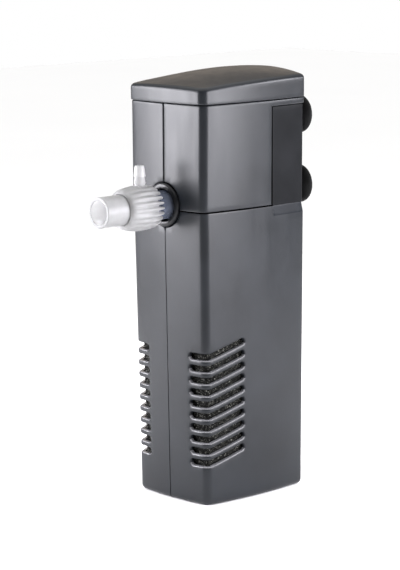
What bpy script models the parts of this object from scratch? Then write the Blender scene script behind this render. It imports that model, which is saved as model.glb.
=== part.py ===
"""A submersible internal power filter for an aquarium.

A slotted canister holds a sponge and hangs on the glass by four suction cups. The pump head lifts
out of the top of the canister and blows through a clear nozzle that swivels in a round collar.

Metres, +Z up. The origin is the centre of the canister's flat base. -Y is the front, where the
nozzle is, and +Y is the side of the glass.
"""

import math

import bmesh
import bpy
from mathutils import Matrix, Vector

# Body outline, seen from above, at the height of the cap seam.
HALF_WIDTH = 0.02745  # at the corner lines, before the side bows out
FRONT_Y = -0.0349
REAR_Y = 0.0348
SIDE_BOW = 0.00235
FRONT_BOW = 0.00178
FRONT_RADIUS = 0.0035
REAR_RADIUS = 0.002
DRAFT = 0.0085  # the moulding draft of every wall, metres of inset per metre of height
SEAM_GAP = 0.0003

# Heights.
CAP_SEAM_Z = 0.2000
HEAD_SEAM_Z = 0.1473
BASE_FILLET = 0.0027
FLOOR_TOP_Z = 0.0022
SHOULDER_Z = 0.1419  # below it the rear of the canister has the full outline
CHEEK_TOP_Z = 0.1965
FLANGE_Z = 0.1968  # underside of the head's flange, over the cheeks

# Canister.
CANISTER_WALL = 0.0020
CHEEK_STEP_Y = 0.0106  # where the raised rear cheeks begin
CHEEK_INSET = 0.0010
CHEEK_INNER_X = 0.0246
SPINE_INNER_Y = 0.0323
SPINE_REAR_Y = 0.0350
LEDGE_Z = 0.1400

# Intake slots, ten round each front corner.
SLOT_COUNT = 10
SLOT_PITCH = 0.00598
SLOT_FIRST_Z = 0.0216
SLOT_RADIUS = 0.00178
SIDE_SLOT_RADIUS = 0.00172  # a little less, so that the two cuts never share a face
SLOT_INNER_X = 0.0150
SLOT_BEND_Y = -0.0310
SLOT_END_Y = -0.0095
SLOT_RISE = math.radians(15.5)

# Pump head.
HEAD_WALL = 0.0018
HEAD_STEP_Y = 0.0097
HEAD_REAR_X = 0.0243
HEAD_REAR_Y = 0.0303
HEAD_FRONT_LEAN = 0.00055  # the head's front leans out this much towards its lower edge
HEAD_TOP_FRONT_Y = -0.0344
HALF_GAP = 0.00015

# Cap: the height of its upper edge and of its crown, along the depth (-1 at the front, 1 at the rear).
CAP_EDGE = (0.21017, 0.00141, -0.00106)
CAP_CROWN = (0.00430, 0.00125, -0.00184)
CAP_OVERHANG = 0.00015
CAP_WALL = 0.0018
CAP_EDGE_RADIUS = 0.0011

# Pump, turned about the vertical axis through the origin.
SHAFT_RADIUS = 0.0015
BORE_RADIUS = 0.0018
WELL_RADIUS = 0.0107
WELL_OUTER_RADIUS = 0.0122
WELL_TOP_Z = 0.1890
POT_FLOOR_Z = 0.1580
POT_TOP_Z = 0.1870
POT_HALF_WIDTH = 0.0220
POT_FRONT_Y = -0.0134
POT_REAR_Y = 0.0281
POT_WALL = 0.0015
VOLUTE_RADIUS = 0.0175
CHAMBER_RADIUS = 0.0157
CHAMBER_ROOF_Z = 0.1558
VOLUTE_BOTTOM_Z = 0.1425
VOLUTE_TOP_Z = 0.1576
IMPELLER_RADIUS = 0.0130
BLADE_COUNT = 6
SCREW_XY = (0.0193, -0.0090)

# Stator, a U of laminations round the rotor well with a coil on each leg.
CORE_INNER_X = 0.0105
CORE_OUTER_X = 0.0155
CORE_FRONT_Y = -0.0080
CORE_YOKE_Y = 0.0214
CORE_REAR_Y = 0.0264
CORE_LOW_Z = 0.1660
CORE_HIGH_Z = 0.1820
POLE_RADIUS = 0.0126
BOBBIN_FRONT_Y = 0.0110
BOBBIN_REAR_Y = 0.0210
BOBBIN_WALL = 0.0008
BOBBIN_FLANGE = 0.0010
COIL_DEPTH = 0.0026

# Outlet, turned about a horizontal axis along Y.
OUTLET_Z = 0.1496
COLLAR_RADIUS = 0.0110
COLLAR_BORE = 0.0079
COLLAR_FRONT_Y = -0.0380
COLLAR_REAR_Y = -0.0250
THROAT_RADIUS = 0.0070
THROAT_BORE = 0.0056
THROAT_END_Y = -0.0270
NECK_RADIUS = 0.0072
NECK_BORE = 0.0046
SEAL_Y = -0.0340
SEAL_GROOVE_RADIUS = 0.00585
SEAL_GROOVE_HALF = 0.00105
NECK_REAR_Y = -0.0290
BARREL_REAR_Y = -0.0440
BARREL_FRONT_Y = -0.0651
BARREL_RADIUS = 0.0112
TUBE_RADIUS = 0.0076
TUBE_BORE = 0.0059
TUBE_REAR_Y = -0.0560
TUBE_FRONT_Y = -0.0786
NIPPLE_Y = -0.0522
NIPPLE_TOP_Z = 0.1704
NIPPLE_BORE = 0.0010

# Suction cups and cable gland, on the rear.
CUP_X = 0.0152
CUP_ZS = (0.1546, 0.1903)
CUP_LIP_Y = 0.0423
CUP_RADIUS = 0.0098
CUP_HOLE_RADIUS = 0.0030
GLAND_Z = 0.1923
GLAND_RADIUS = 0.0036
GLAND_HOLE_RADIUS = 0.0039

# Sponge and screen.
SPONGE_GAP = 0.0006
SPONGE_TOP_Z = 0.1265
SPONGE_BORE = 0.0060
SCREEN_Z = (0.1270, 0.1288)
SCREEN_PITCH = 0.0142
SCREEN_HOLE_RADIUS = 0.0055

BLACK_PLASTIC = ((0.085, 0.087, 0.098, 1.0), 0.42, 0.0)
GLOSS_BLACK = ((0.012, 0.013, 0.015, 1.0), 0.12, 0.0)
SEAL_RUBBER = ((0.010, 0.010, 0.011, 1.0), 0.55, 0.0)
SPONGE_FOAM = ((0.015, 0.015, 0.014, 1.0), 0.95, 0.0)
CLEAR_PLASTIC = ((0.80, 0.81, 0.86, 1.0), 0.25, 0.0)
INNER_PLASTIC = ((0.060, 0.062, 0.065, 1.0), 0.50, 0.0)
STEEL = ((0.45, 0.46, 0.48, 1.0), 0.35, 1.0)
COPPER = ((0.62, 0.24, 0.12, 1.0), 0.30, 1.0)
FERRITE = ((0.030, 0.030, 0.034, 1.0), 0.55, 0.2)
NYLON = ((0.62, 0.62, 0.60, 1.0), 0.50, 0.0)

ROUND_STEPS = 24
OUTLET_AXIS = Matrix.Translation((0.0, 0.0, OUTLET_Z)) @ Matrix.Rotation(math.radians(90), 4, "X")


def clear_scene():
    for obj in list(bpy.data.objects):
        bpy.data.objects.remove(obj, do_unlink=True)


def new_collection(name):
    collection = bpy.data.collections.new(name)
    bpy.context.scene.collection.children.link(collection)
    return collection


clear_scene()
PARTS = new_collection("internal_filter")
CUTTERS = new_collection("cutters")


# ---------------------------------------------------------------- helpers


def material(name, finish):
    colour, roughness, metallic = finish
    made = bpy.data.materials.new(name)
    made.use_nodes = True
    shader = made.node_tree.nodes["Principled BSDF"]
    shader.inputs["Base Color"].default_value = colour
    shader.inputs["Roughness"].default_value = roughness
    shader.inputs["Metallic"].default_value = metallic
    return made


def place(name, mesh, collection, matrix=None):
    obj = bpy.data.objects.new(name, mesh)
    if matrix is not None:
        obj.matrix_world = matrix
    collection.objects.link(obj)
    if collection == CUTTERS:
        obj.hide_render = True
        obj.display_type = "WIRE"
    return obj


def finish(obj, surface, parent=None):
    """Gives a part its own material, smooth shading and the empty that it moves with."""
    if obj.data.materials:
        obj.data.materials.clear()
    obj.data.materials.append(material(obj.name, surface))
    obj.data.shade_smooth()
    obj.data.set_sharp_from_angle(angle=math.radians(35))
    if parent is not None:
        obj.parent = parent
        obj.matrix_parent_inverse = Matrix.Translation(parent.location).inverted()
    return obj


def axis_empty(name, location, parent=None):
    empty = bpy.data.objects.new(name, None)
    empty.empty_display_size = 0.01
    empty.location = location
    PARTS.objects.link(empty)
    if parent is not None:
        empty.parent = parent
        empty.matrix_parent_inverse = Matrix.Translation(parent.location).inverted()
    return empty


def mesh_of(name, bm):
    mesh = bpy.data.meshes.new(name)
    bm.to_mesh(mesh)
    bm.free()
    return mesh


def box(name, low, high, collection=None, matrix=None):
    bm = bmesh.new()
    size = Vector(high) - Vector(low)
    middle = (Vector(high) + Vector(low)) / 2
    bmesh.ops.create_cube(bm, matrix=Matrix.LocRotScale(middle, None, size))
    return place(name, mesh_of(name, bm), collection or CUTTERS, matrix)


def cylinders(name, places, radius, low, high, collection=None, matrix=None, steps=ROUND_STEPS):
    """Cylinders along the local Z axis between low and high, one at each (x, y) of places."""
    bm = bmesh.new()
    for x, y in places:
        bmesh.ops.create_cone(
            bm,
            cap_ends=True,
            segments=steps,
            radius1=radius,
            radius2=radius,
            depth=high - low,
            matrix=Matrix.Translation((x, y, (low + high) / 2)),
        )
    return place(name, mesh_of(name, bm), collection or CUTTERS, matrix)


def plates(name, outlines, low, high, collection=None, matrix=None):
    """Flat plates with these outlines in local XY, between low and high along local Z."""
    curve = bpy.data.curves.new(name, "CURVE")
    curve.dimensions = "2D"
    curve.fill_mode = "BOTH"
    curve.extrude = (high - low) / 2
    for outline in outlines:
        spline = curve.splines.new("POLY")
        spline.points.add(len(outline) - 1)
        spline.use_cyclic_u = True
        for point, (x, y) in zip(spline.points, outline):
            point.co = (x, y, 0.0, 1.0)
    guide = bpy.data.objects.new(name + "_guide", curve)
    bpy.context.scene.collection.objects.link(guide)
    graph = bpy.context.evaluated_depsgraph_get()
    mesh = bpy.data.meshes.new_from_object(guide.evaluated_get(graph))
    bpy.data.objects.remove(guide, do_unlink=True)
    bm = bmesh.new()
    bm.from_mesh(mesh)
    bmesh.ops.remove_doubles(bm, verts=bm.verts, dist=1e-6)
    bmesh.ops.translate(bm, verts=bm.verts, vec=(0.0, 0.0, (low + high) / 2))
    bmesh.ops.recalc_face_normals(bm, faces=bm.faces)
    bm.to_mesh(mesh)
    bm.free()
    mesh.name = name
    return place(name, mesh, collection or CUTTERS, matrix)


def turned(name, profile, collection=None, matrix=None, steps=ROUND_STEPS, ring=False):
    """A profile of (radius, height) turned about local Z. A ring's profile is a closed loop."""
    bm = bmesh.new()
    points = [bm.verts.new((radius, 0.0, height)) for radius, height in profile]
    for first, second in zip(points, points[1:]):
        bm.edges.new((first, second))
    if ring:
        bm.edges.new((points[-1], points[0]))
    obj = place(name, mesh_of(name, bm), collection or CUTTERS, matrix)
    screw = obj.modifiers.new("turn", "SCREW")
    screw.axis = "Z"
    screw.angle = math.tau
    screw.steps = steps
    screw.render_steps = steps
    screw.use_merge_vertices = True
    screw.merge_threshold = 0.00001
    screw.use_smooth_shade = True
    return obj


def tube(name, inner, outer, low, high, collection=None, matrix=None, steps=ROUND_STEPS):
    profile = [(outer, high), (outer, low), (inner, low), (inner, high)]
    return turned(name, profile, collection, matrix, steps, ring=True)


def boolean(obj, other, operation):
    modifier = obj.modifiers.new(other.name, "BOOLEAN")
    modifier.operation = operation
    modifier.object = other
    modifier.solver = "EXACT"


def cut(obj, *others):
    for other in others:
        boolean(obj, other, "DIFFERENCE")


def unite(obj, *others):
    for other in others:
        boolean(obj, other, "UNION")


def arc(centre, radius, start, end, steps):
    """Points on an arc, with its angles in degrees."""
    angles = [math.radians(start + (end - start) * i / steps) for i in range(steps + 1)]
    return [(centre[0] + radius * math.cos(a), centre[1] + radius * math.sin(a)) for a in angles]


def span(start, end, steps):
    return [start + (end - start) * i / steps for i in range(steps + 1)]


# ---------------------------------------------------------------- body outline


def drafted(z):
    return DRAFT * (CAP_SEAM_Z - z)


def half_outline(half_width, front, rear, inset, step_y):
    """The right half of the outline from front to rear, as (x, y, behind the step or not)."""
    front_radius = max(FRONT_RADIUS - inset, 0.0004)
    rear_radius = max(REAR_RADIUS - inset, 0.0004)
    front_centre = (half_width - front_radius, front + front_radius)
    rear_centre = (half_width - rear_radius, rear - rear_radius)
    points = [(x, front, False) for x in span(0.0, front_centre[0], 6)[:-1]]
    points += [(x, y, False) for x, y in arc(front_centre, front_radius, -90, 0, 4)]
    points += [(half_width, y, False) for y in span(front_centre[1], step_y, 6)[1:]]
    points += [(half_width, y, True) for y in span(step_y, rear_centre[1], 4)[:-1]]
    points += [(x, y, True) for x, y in arc(rear_centre, rear_radius, 0, 90, 3)]
    points.append((0.0, rear, True))
    return points


def body_outline(inset=0.0, front=FRONT_Y, z=CAP_SEAM_Z, step_y=CHEEK_STEP_Y, behind=None):
    """The whole bowed outline at height z. behind moves the points behind the step."""
    inset_all = inset + drafted(z)
    half_width = HALF_WIDTH - inset_all
    low = front + inset
    high = REAR_Y - inset_all
    middle = (low + high) / 2
    half_depth = (high - low) / 2
    right = []
    for x, y, is_behind in half_outline(half_width, low, high, inset, step_y):
        along = (y - middle) / half_depth
        across = x / half_width
        bowed_x = x + SIDE_BOW * (1.0 - along**2) * across
        bowed_y = y - FRONT_BOW * (1.0 - across**2) * max(0.0, -along)
        if is_behind and behind is not None:
            bowed_x, bowed_y = behind(bowed_x, bowed_y)
        right.append((bowed_x, bowed_y))
    left = [(-x, y) for x, y in right[-2:0:-1]]
    return right + left


def loft(name, sections, collection=None):
    """A closed solid through sections of (height, outline), all with as many points."""
    bm = bmesh.new()
    rings = [[bm.verts.new((x, y, z)) for x, y in outline] for z, outline in sections]
    for lower, upper in zip(rings, rings[1:]):
        for i in range(len(lower)):
            j = (i + 1) % len(lower)
            bm.faces.new((lower[i], lower[j], upper[j], upper[i]))
    bm.faces.new(reversed(rings[0]))
    bm.faces.new(rings[-1])
    bmesh.ops.remove_doubles(bm, verts=bm.verts, dist=1e-6)
    bmesh.ops.recalc_face_normals(bm, faces=bm.faces)
    return place(name, mesh_of(name, bm), collection or CUTTERS)


# ---------------------------------------------------------------- canister


def cheek(x, y):
    """The outer face of the raised cheeks and spine."""
    return max(x - CHEEK_INSET, 0.0), y + (SPINE_REAR_Y - REAR_Y) * (y > SPINE_INNER_Y)


def cheek_inside(x, y):
    return min(x, CHEEK_INNER_X), min(y, SPINE_INNER_Y)


def canister_outline(z, inset=0.0, behind=None):
    return body_outline(inset, FRONT_Y + drafted(z), z, CHEEK_STEP_Y, behind)


def base_fillet_sections():
    sections = []
    for angle in (0, 30, 60, 90):
        turn = math.radians(angle)
        z = BASE_FILLET * (1.0 - math.cos(turn))
        sections.append((z, canister_outline(z, BASE_FILLET * (1.0 - math.sin(turn)))))
    return sections


def canister_solid():
    sections = base_fillet_sections()
    sections.append((SHOULDER_Z, canister_outline(SHOULDER_Z)))
    for z in (HEAD_SEAM_Z, CHEEK_TOP_Z):
        sections.append((z, canister_outline(z, behind=cheek)))
    return loft("canister_shell", sections, PARTS)


def canister_hollow():
    top = CHEEK_TOP_Z + 0.004
    sections = [(z, canister_outline(z, CANISTER_WALL)) for z in (FLOOR_TOP_Z, LEDGE_Z)]
    for z in (LEDGE_Z + 0.001, top):
        sections.append((z, canister_outline(z, CANISTER_WALL, cheek_inside)))
    return loft("canister_hollow", sections)


def slot_height(i):
    return SLOT_FIRST_Z + i * SLOT_PITCH


def front_slot(side, z):
    """The part of a slot that crosses the front wall, in XZ."""
    start = SLOT_INNER_X + SLOT_RADIUS
    end = HALF_WIDTH + 0.004
    rounded = arc((start, z), SLOT_RADIUS, 90, 270, 4)
    outline = rounded + [(end, z - SLOT_RADIUS), (end, z + SLOT_RADIUS)]
    return [(side * x, height) for x, height in outline]


def side_slot(z):
    """The part of a slot on the side wall, in YZ: level, then rising to a rounded end."""
    start = FRONT_Y - 0.004
    run = SLOT_END_Y - SLOT_BEND_Y
    tip = (SLOT_END_Y - SIDE_SLOT_RADIUS, z + run * math.tan(SLOT_RISE))
    half_bend = SIDE_SLOT_RADIUS * math.tan(SLOT_RISE / 2)
    rise = math.degrees(SLOT_RISE)
    lower = [(start, z - SIDE_SLOT_RADIUS), (SLOT_BEND_Y + half_bend, z - SIDE_SLOT_RADIUS)]
    upper = [(SLOT_BEND_Y - half_bend, z + SIDE_SLOT_RADIUS), (start, z + SIDE_SLOT_RADIUS)]
    return lower + arc(tip, SIDE_SLOT_RADIUS, rise - 90, rise + 90, 4) + upper


def slot_cutters():
    heights = [slot_height(i) for i in range(SLOT_COUNT)]
    front = [front_slot(side, z) for z in heights for side in (1, -1)]
    face_front = Matrix.Rotation(math.radians(90), 4, "X")
    made = [plates("front_slots", front, -FRONT_Y - 0.006, -FRONT_Y + 0.004, matrix=face_front)]
    face_side = Matrix(((0, 0, 1, 0), (1, 0, 0, 0), (0, 1, 0, 0), (0, 0, 0, 1)))
    for side, name in ((1, "right"), (-1, "left")):
        reach = sorted((side * 0.0215, side * 0.0330))
        outlines = [side_slot(z) for z in heights]
        made.append(plates(f"{name}_side_slots", outlines, *reach, matrix=face_side))
    return made


def along_y(x, z):
    """Puts local Z along +Y, through (x, z)."""
    return Matrix.Translation((x, 0.0, z)) @ Matrix.Rotation(math.radians(-90), 4, "X")


def canister_shell():
    shell = canister_solid()
    low, high = HEAD_SEAM_Z, CHEEK_TOP_Z + 0.010
    front_clear = box("front_clear", (-0.05, -0.05, low), (0.05, CHEEK_STEP_Y, high))
    notch_radius = COLLAR_RADIUS + SEAM_GAP
    notch = cylinders("collar_notch", [(0.0, 0.0)], notch_radius, 0.028, 0.042, matrix=OUTLET_AXIS)
    cup_holes = [(x, -z) for x in (CUP_X, -CUP_X) for z in CUP_ZS]
    holes = cylinders("cup_holes", cup_holes, CUP_HOLE_RADIUS, 0.030, 0.040, matrix=along_y(0, 0))
    slot_x = GLAND_RADIUS + 0.0007
    slot_low = GLAND_Z - GLAND_RADIUS - 0.0007
    gland_slot = box("gland_slot", (-slot_x, 0.030, slot_low), (slot_x, 0.040, high))
    cut(shell, canister_hollow(), front_clear, notch, holes, gland_slot, *slot_cutters())
    return finish(shell, BLACK_PLASTIC)


def filter_sponge():
    inset = CANISTER_WALL + SPONGE_GAP
    heights = (FLOOR_TOP_Z + SPONGE_GAP, SPONGE_TOP_Z)
    block = loft("filter_sponge", [(z, canister_outline(z, inset)) for z in heights], PARTS)
    bore = cylinders("sponge_bore", [(0.0, 0.0)], SPONGE_BORE, 0.030, SPONGE_TOP_Z + 0.005)
    cut(block, bore)
    return finish(block, SPONGE_FOAM)


def intake_screen():
    inset = CANISTER_WALL + SPONGE_GAP
    plate = loft("intake_screen", [(z, canister_outline(z, inset)) for z in SCREEN_Z], PARTS)
    places = [(SCREEN_PITCH * i, SCREEN_PITCH * j) for i in (-1, 0, 1) for j in range(-2, 3)]
    low, high = SCREEN_Z
    holes = cylinders("screen_holes", places, SCREEN_HOLE_RADIUS, low - 0.002, high + 0.002, steps=8)
    cut(plate, holes)
    return finish(plate, INNER_PLASTIC)


def suction_cups():
    """Four cups whose necks pass through the spine, each with a button on the inside."""
    back = SPONGE_GAP / 2
    inner = SPINE_INNER_Y - SPINE_REAR_Y - 2 * back
    lip = CUP_LIP_Y - SPINE_REAR_Y - back
    profile = [
        (0.0, lip - 0.0034),
        (0.0062, lip - 0.0022),
        (0.0090, lip),
        (CUP_RADIUS, lip),
        (0.0092, lip - 0.0016),
        (0.0050, lip - 0.0046),
        (0.0044, 0.0),
        (CUP_HOLE_RADIUS - 0.0003, 0.0),
        (CUP_HOLE_RADIUS - 0.0003, inner),
        (0.0037, inner),
        (0.0033, inner - 0.0011),
        (0.0, inner - 0.0011),
    ]
    for z, level in zip(CUP_ZS, ("lower", "upper")):
        for x, side in ((CUP_X, "right"), (-CUP_X, "left")):
            matrix = Matrix.Translation((0.0, SPINE_REAR_Y + back, 0.0)) @ along_y(x, z)
            cup = turned(f"suction_cup_{level}_{side}", profile, PARTS, matrix, 16)
            finish(cup, SEAL_RUBBER)


# ---------------------------------------------------------------- pump head shell


def head_outline(z, inset=0.0, behind=None):
    lean = HEAD_FRONT_LEAN * (CAP_SEAM_Z - z) / (CAP_SEAM_Z - HEAD_SEAM_Z)
    return body_outline(inset, HEAD_TOP_FRONT_Y - lean, z, HEAD_STEP_Y - inset, behind)


def head_rear(inset):
    def clamp(x, y):
        return min(x, HEAD_REAR_X - inset), min(y, HEAD_REAR_Y - inset)

    return clamp


def head_solid(name):
    narrow = head_rear(0.0)
    sections = [(z, head_outline(z, 0.0, narrow)) for z in (HEAD_SEAM_Z + SEAM_GAP, FLANGE_Z)]
    sections += [(z, head_outline(z)) for z in (FLANGE_Z, CAP_SEAM_Z - SEAM_GAP / 2)]
    return loft(name, sections, PARTS)


def head_hollow():
    narrow = head_rear(HEAD_WALL)
    heights = (HEAD_SEAM_Z + SEAM_GAP + HEAD_WALL, CAP_SEAM_Z + 0.002)
    return loft("head_hollow", [(z, head_outline(z, HEAD_WALL, narrow)) for z in heights])


def head_openings():
    """The round floor hole for the volute, the throat slot, the collar hole and the gland hole."""
    low, high = HEAD_SEAM_Z - 0.002, HEAD_SEAM_Z + 0.004
    floor = cylinders("volute_hole", [(0.0, 0.0)], VOLUTE_RADIUS + 0.0008, low, high, steps=32)
    throat_x = THROAT_RADIUS + 0.0005
    throat = box("throat_slot", (-throat_x, -0.026, low), (throat_x, -0.010, high))
    collar_radius = COLLAR_RADIUS + SEAM_GAP
    collar = cylinders("collar_hole", [(0, 0)], collar_radius, 0.0245, 0.042, matrix=OUTLET_AXIS)
    gland = along_y(0.0, GLAND_Z)
    hole = cylinders("gland_hole", [(0.0, 0.0)], GLAND_HOLE_RADIUS, 0.026, 0.034, matrix=gland)
    return [floor, throat, collar, hole]


def head_shells(parent):
    openings = [head_hollow()] + head_openings()
    for name, side in (("head_shell_right", -1), ("head_shell_left", 1)):
        shell = head_solid(name)
        near, far = sorted((-side * HALF_GAP, side * 0.05))
        other_half = box(name + "_split", (near, -0.05, 0.10), (far, 0.05, 0.25))
        cut(shell, other_half, *openings)
        finish(shell, BLACK_PLASTIC, parent)


def cap_surface(x, y, half_width):
    """Height of the cap's top: an edge that rises to the rear, and a crown across it."""
    along = y / REAR_Y
    across = min(abs(x) / half_width, 1.0)
    edge = CAP_EDGE[0] + CAP_EDGE[1] * along + CAP_EDGE[2] * along**2
    crown = CAP_CROWN[0] + CAP_CROWN[1] * along + CAP_CROWN[2] * along**2
    return edge + crown * (1.0 - across**2)


def cap_rings():
    """The cap's surface as rings, from its lower rim over the edge to near the middle."""
    rim = body_outline(-CAP_OVERHANG, FRONT_Y)
    half_width = HALF_WIDTH + SIDE_BOW
    low = CAP_SEAM_Z + SEAM_GAP / 2
    rings = [[(x, y, low) for x, y in rim]]
    for angle in (0, 90):
        turn = math.radians(angle)
        inset = CAP_EDGE_RADIUS * (1.0 - math.cos(turn))
        drop = CAP_EDGE_RADIUS * (1.0 - math.sin(turn))
        outline = body_outline(inset - CAP_OVERHANG, FRONT_Y)
        rings.append([(x, y, cap_surface(x, y, half_width) - drop) for x, y in outline])
    inner = rings[-1]
    for scale in (0.8, 0.5, 0.2):
        scaled = [(x * scale, y * scale) for x, y, z in inner]
        rings.append([(x, y, cap_surface(x, y, half_width)) for x, y in scaled])
    return rings


def top_cap(parent):
    bm = bmesh.new()
    rings = [[bm.verts.new(point) for point in ring] for ring in cap_rings()]
    for lower, upper in zip(rings, rings[1:]):
        for i in range(len(lower)):
            j = (i + 1) % len(lower)
            bm.faces.new((lower[i], lower[j], upper[j], upper[i]))
    bm.faces.new(rings[-1])
    bmesh.ops.remove_doubles(bm, verts=bm.verts, dist=1e-6)
    bmesh.ops.triangulate(bm, faces=[face for face in bm.faces if len(face.verts) > 4])
    cap = place("top_cap", mesh_of("top_cap", bm), PARTS)
    wall = cap.modifiers.new("wall", "SOLIDIFY")
    wall.thickness = CAP_WALL
    wall.offset = -1.0
    finish(cap, BLACK_PLASTIC, parent)


def cable_gland(parent):
    """A ribbed rubber sleeve through the head's rear wall, where the mains lead comes out."""
    rear = 0.0372
    inner = HEAD_REAR_Y - HEAD_WALL - SEAM_GAP
    profile = [
        (GLAND_RADIUS - 0.0008, rear),
        (GLAND_RADIUS, rear - 0.0012),
        (GLAND_RADIUS, inner),
        (GLAND_RADIUS + 0.0014, inner),
        (GLAND_RADIUS + 0.0014, inner - 0.0014),
        (0.0018, inner - 0.0014),
        (0.0018, rear),
    ]
    gland = turned("cable_gland", profile, PARTS, along_y(0.0, GLAND_Z), 16, ring=True)
    finish(gland, SEAL_RUBBER, parent)


# ---------------------------------------------------------------- pump


def volute_casing(parent):
    low, high = VOLUTE_BOTTOM_Z, VOLUTE_TOP_Z
    casing = cylinders("volute_casing", [(0, 0)], VOLUTE_RADIUS, low, high, PARTS, steps=32)
    throat = cylinders(
        "throat", [(0, 0)], THROAT_RADIUS, 0.012, -THROAT_END_Y, matrix=OUTLET_AXIS
    )
    screw_x, screw_y = SCREW_XY
    lug_x = screw_x + 0.0026
    lug_low = high - 0.0024
    lugs = box("volute_lugs", (-lug_x, screw_y - 0.0026, lug_low), (lug_x, screw_y + 0.0026, high))
    unite(casing, throat, lugs)
    chamber = cylinders(
        "chamber", [(0, 0)], CHAMBER_RADIUS, low - 0.002, CHAMBER_ROOF_Z, steps=32
    )
    roof_hole = cylinders("roof_hole", [(0, 0)], WELL_RADIUS + 0.0002, 0.150, high + 0.002)
    bore = cylinders("throat_bore", [(0, 0)], THROAT_BORE, 0.004, 0.030, matrix=OUTLET_AXIS)
    sides = [(screw_x, screw_y), (-screw_x, screw_y)]
    screw_holes = cylinders("lug_holes", sides, 0.0014, lug_low - 0.001, high + 0.001, steps=12)
    cut(casing, chamber, roof_hole, bore, screw_holes)
    finish(casing, INNER_PLASTIC, parent)


def volute_cover(parent):
    """The pump's inlet plate: a ring of inlet holes and a cup for the lower bush."""
    low, top = 0.1398, 0.1412
    profile = [
        (0.0, 0.1410),
        (0.0033, 0.1410),
        (0.0033, 0.1439),
        (0.0044, 0.1439),
        (0.0044, top),
        (0.0142, top),
        (0.0142, 0.1437),
        (0.0154, 0.1437),
        (0.0154, top),
        (0.0174, top),
        (0.0174, low),
        (0.0, low),
    ]
    cover = turned("volute_cover", profile, PARTS)
    ring = arc((0, 0), 0.0090, 0, 300, 5)
    cut(cover, cylinders("inlet_holes", ring, 0.0032, low - 0.001, top + 0.001, steps=10))
    finish(cover, INNER_PLASTIC, parent)


def motor_pot(parent):
    """The open-topped motor case, with the blind well that the rotor turns in."""
    wall = POT_WALL
    low = (-POT_HALF_WIDTH, POT_FRONT_Y, POT_FLOOR_Z)
    pot = box("motor_pot", low, (POT_HALF_WIDTH, POT_REAR_Y, POT_TOP_Z), PARTS)
    inner_x = POT_HALF_WIDTH - wall
    floor = (-inner_x, POT_FRONT_Y + wall, POT_FLOOR_Z + wall)
    hollow = box("pot_hollow", floor, (inner_x, POT_REAR_Y - wall, POT_TOP_Z + 0.01))
    middle_z = POT_FLOOR_Z + wall / 2
    well = cylinders("well", [(0, 0)], WELL_OUTER_RADIUS, middle_z, WELL_TOP_Z)
    sides = [(x, SCREW_XY[1]) for x in (SCREW_XY[0], -SCREW_XY[0])]
    bosses = cylinders("bosses", sides, 0.0024, middle_z, POT_FLOOR_Z + 0.0070, steps=12)
    bore = cylinders("well_bore", [(0, 0)], WELL_RADIUS, POT_FLOOR_Z - 0.002, WELL_TOP_Z - wall)
    screw_holes = cylinders(
        "boss_holes", sides, 0.0014, POT_FLOOR_Z - 0.001, POT_FLOOR_Z + 0.0055, steps=12
    )
    cut(pot, hollow)
    unite(pot, well, bosses)
    cut(pot, bore, screw_holes)
    finish(pot, INNER_PLASTIC, parent)


def stator_core(parent):
    x_in, x_out = CORE_INNER_X, CORE_OUTER_X
    front, yoke, rear = CORE_FRONT_Y, CORE_YOKE_Y, CORE_REAR_Y
    outline = [(x_out, rear), (-x_out, rear), (-x_out, front), (-x_in, front)]
    outline += [(-x_in, yoke), (x_in, yoke), (x_in, front), (x_out, front)]
    core = plates("stator_core", [outline], CORE_LOW_Z, CORE_HIGH_Z, PARTS)
    cut(core, cylinders("pole_bore", [(0, 0)], POLE_RADIUS, 0.160, 0.190, steps=32))
    finish(core, STEEL, parent)


def leg_box(name, side, grow, front, rear, collection=None):
    """A box round one leg of the core, larger than the leg by grow on its four long sides."""
    x_low, x_high = sorted((side * (CORE_INNER_X - grow), side * (CORE_OUTER_X + grow)))
    low = (x_low, front, CORE_LOW_Z - grow)
    return box(name, low, (x_high, rear, CORE_HIGH_Z + grow), collection)


def coils(parent):
    gap = SEAM_GAP
    front, rear = BOBBIN_FRONT_Y, BOBBIN_REAR_Y
    flange = BOBBIN_FLANGE
    for side, hand in ((1, "right"), (-1, "left")):
        bobbin = leg_box(f"bobbin_{hand}", side, gap + BOBBIN_WALL, front, rear, PARTS)
        reach = gap + BOBBIN_WALL + COIL_DEPTH
        for end, low in (("front", front), ("rear", rear - flange)):
            name = f"bobbin_{hand}_{end}_flange"
            unite(bobbin, leg_box(name, side, reach, low, low + flange))
        passage = leg_box(f"bobbin_{hand}_passage", side, gap, front - 0.002, rear + 0.002)
        cut(bobbin, passage)
        finish(bobbin, NYLON, parent)
        low, high = front + flange + gap, rear - flange - gap
        coil = leg_box(f"coil_{hand}", side, reach - 0.0002, low, high, PARTS)
        inner = gap + BOBBIN_WALL + gap
        cut(coil, leg_box(f"coil_{hand}_inner", side, inner, low - 0.002, high + 0.002))
        finish(coil, COPPER, parent)


def bearings(parent):
    shaft = cylinders("shaft", [(0, 0)], SHAFT_RADIUS, 0.1415, 0.1868, PARTS, steps=16)
    finish(shaft, STEEL, parent)
    upper = tube("upper_bush", BORE_RADIUS, WELL_RADIUS - SEAM_GAP, 0.1846, 0.1872, PARTS)
    finish(upper, SEAL_RUBBER, parent)
    lower = tube("lower_bush", BORE_RADIUS, 0.0030, 0.1413, 0.1439, PARTS, steps=16)
    finish(lower, SEAL_RUBBER, parent)


def seals(parent):
    gasket = tube("volute_seal", 0.0158, 0.0173, 0.1415, 0.1422, PARTS, steps=32)
    finish(gasket, SEAL_RUBBER, parent)
    middle, thick = 0.00685, 0.00073
    section = arc((middle, -SEAL_Y), thick, 90, -198, 4)
    ring = turned("nozzle_seal", section, PARTS, OUTLET_AXIS, ring=True)
    finish(ring, SEAL_RUBBER, parent)


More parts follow.
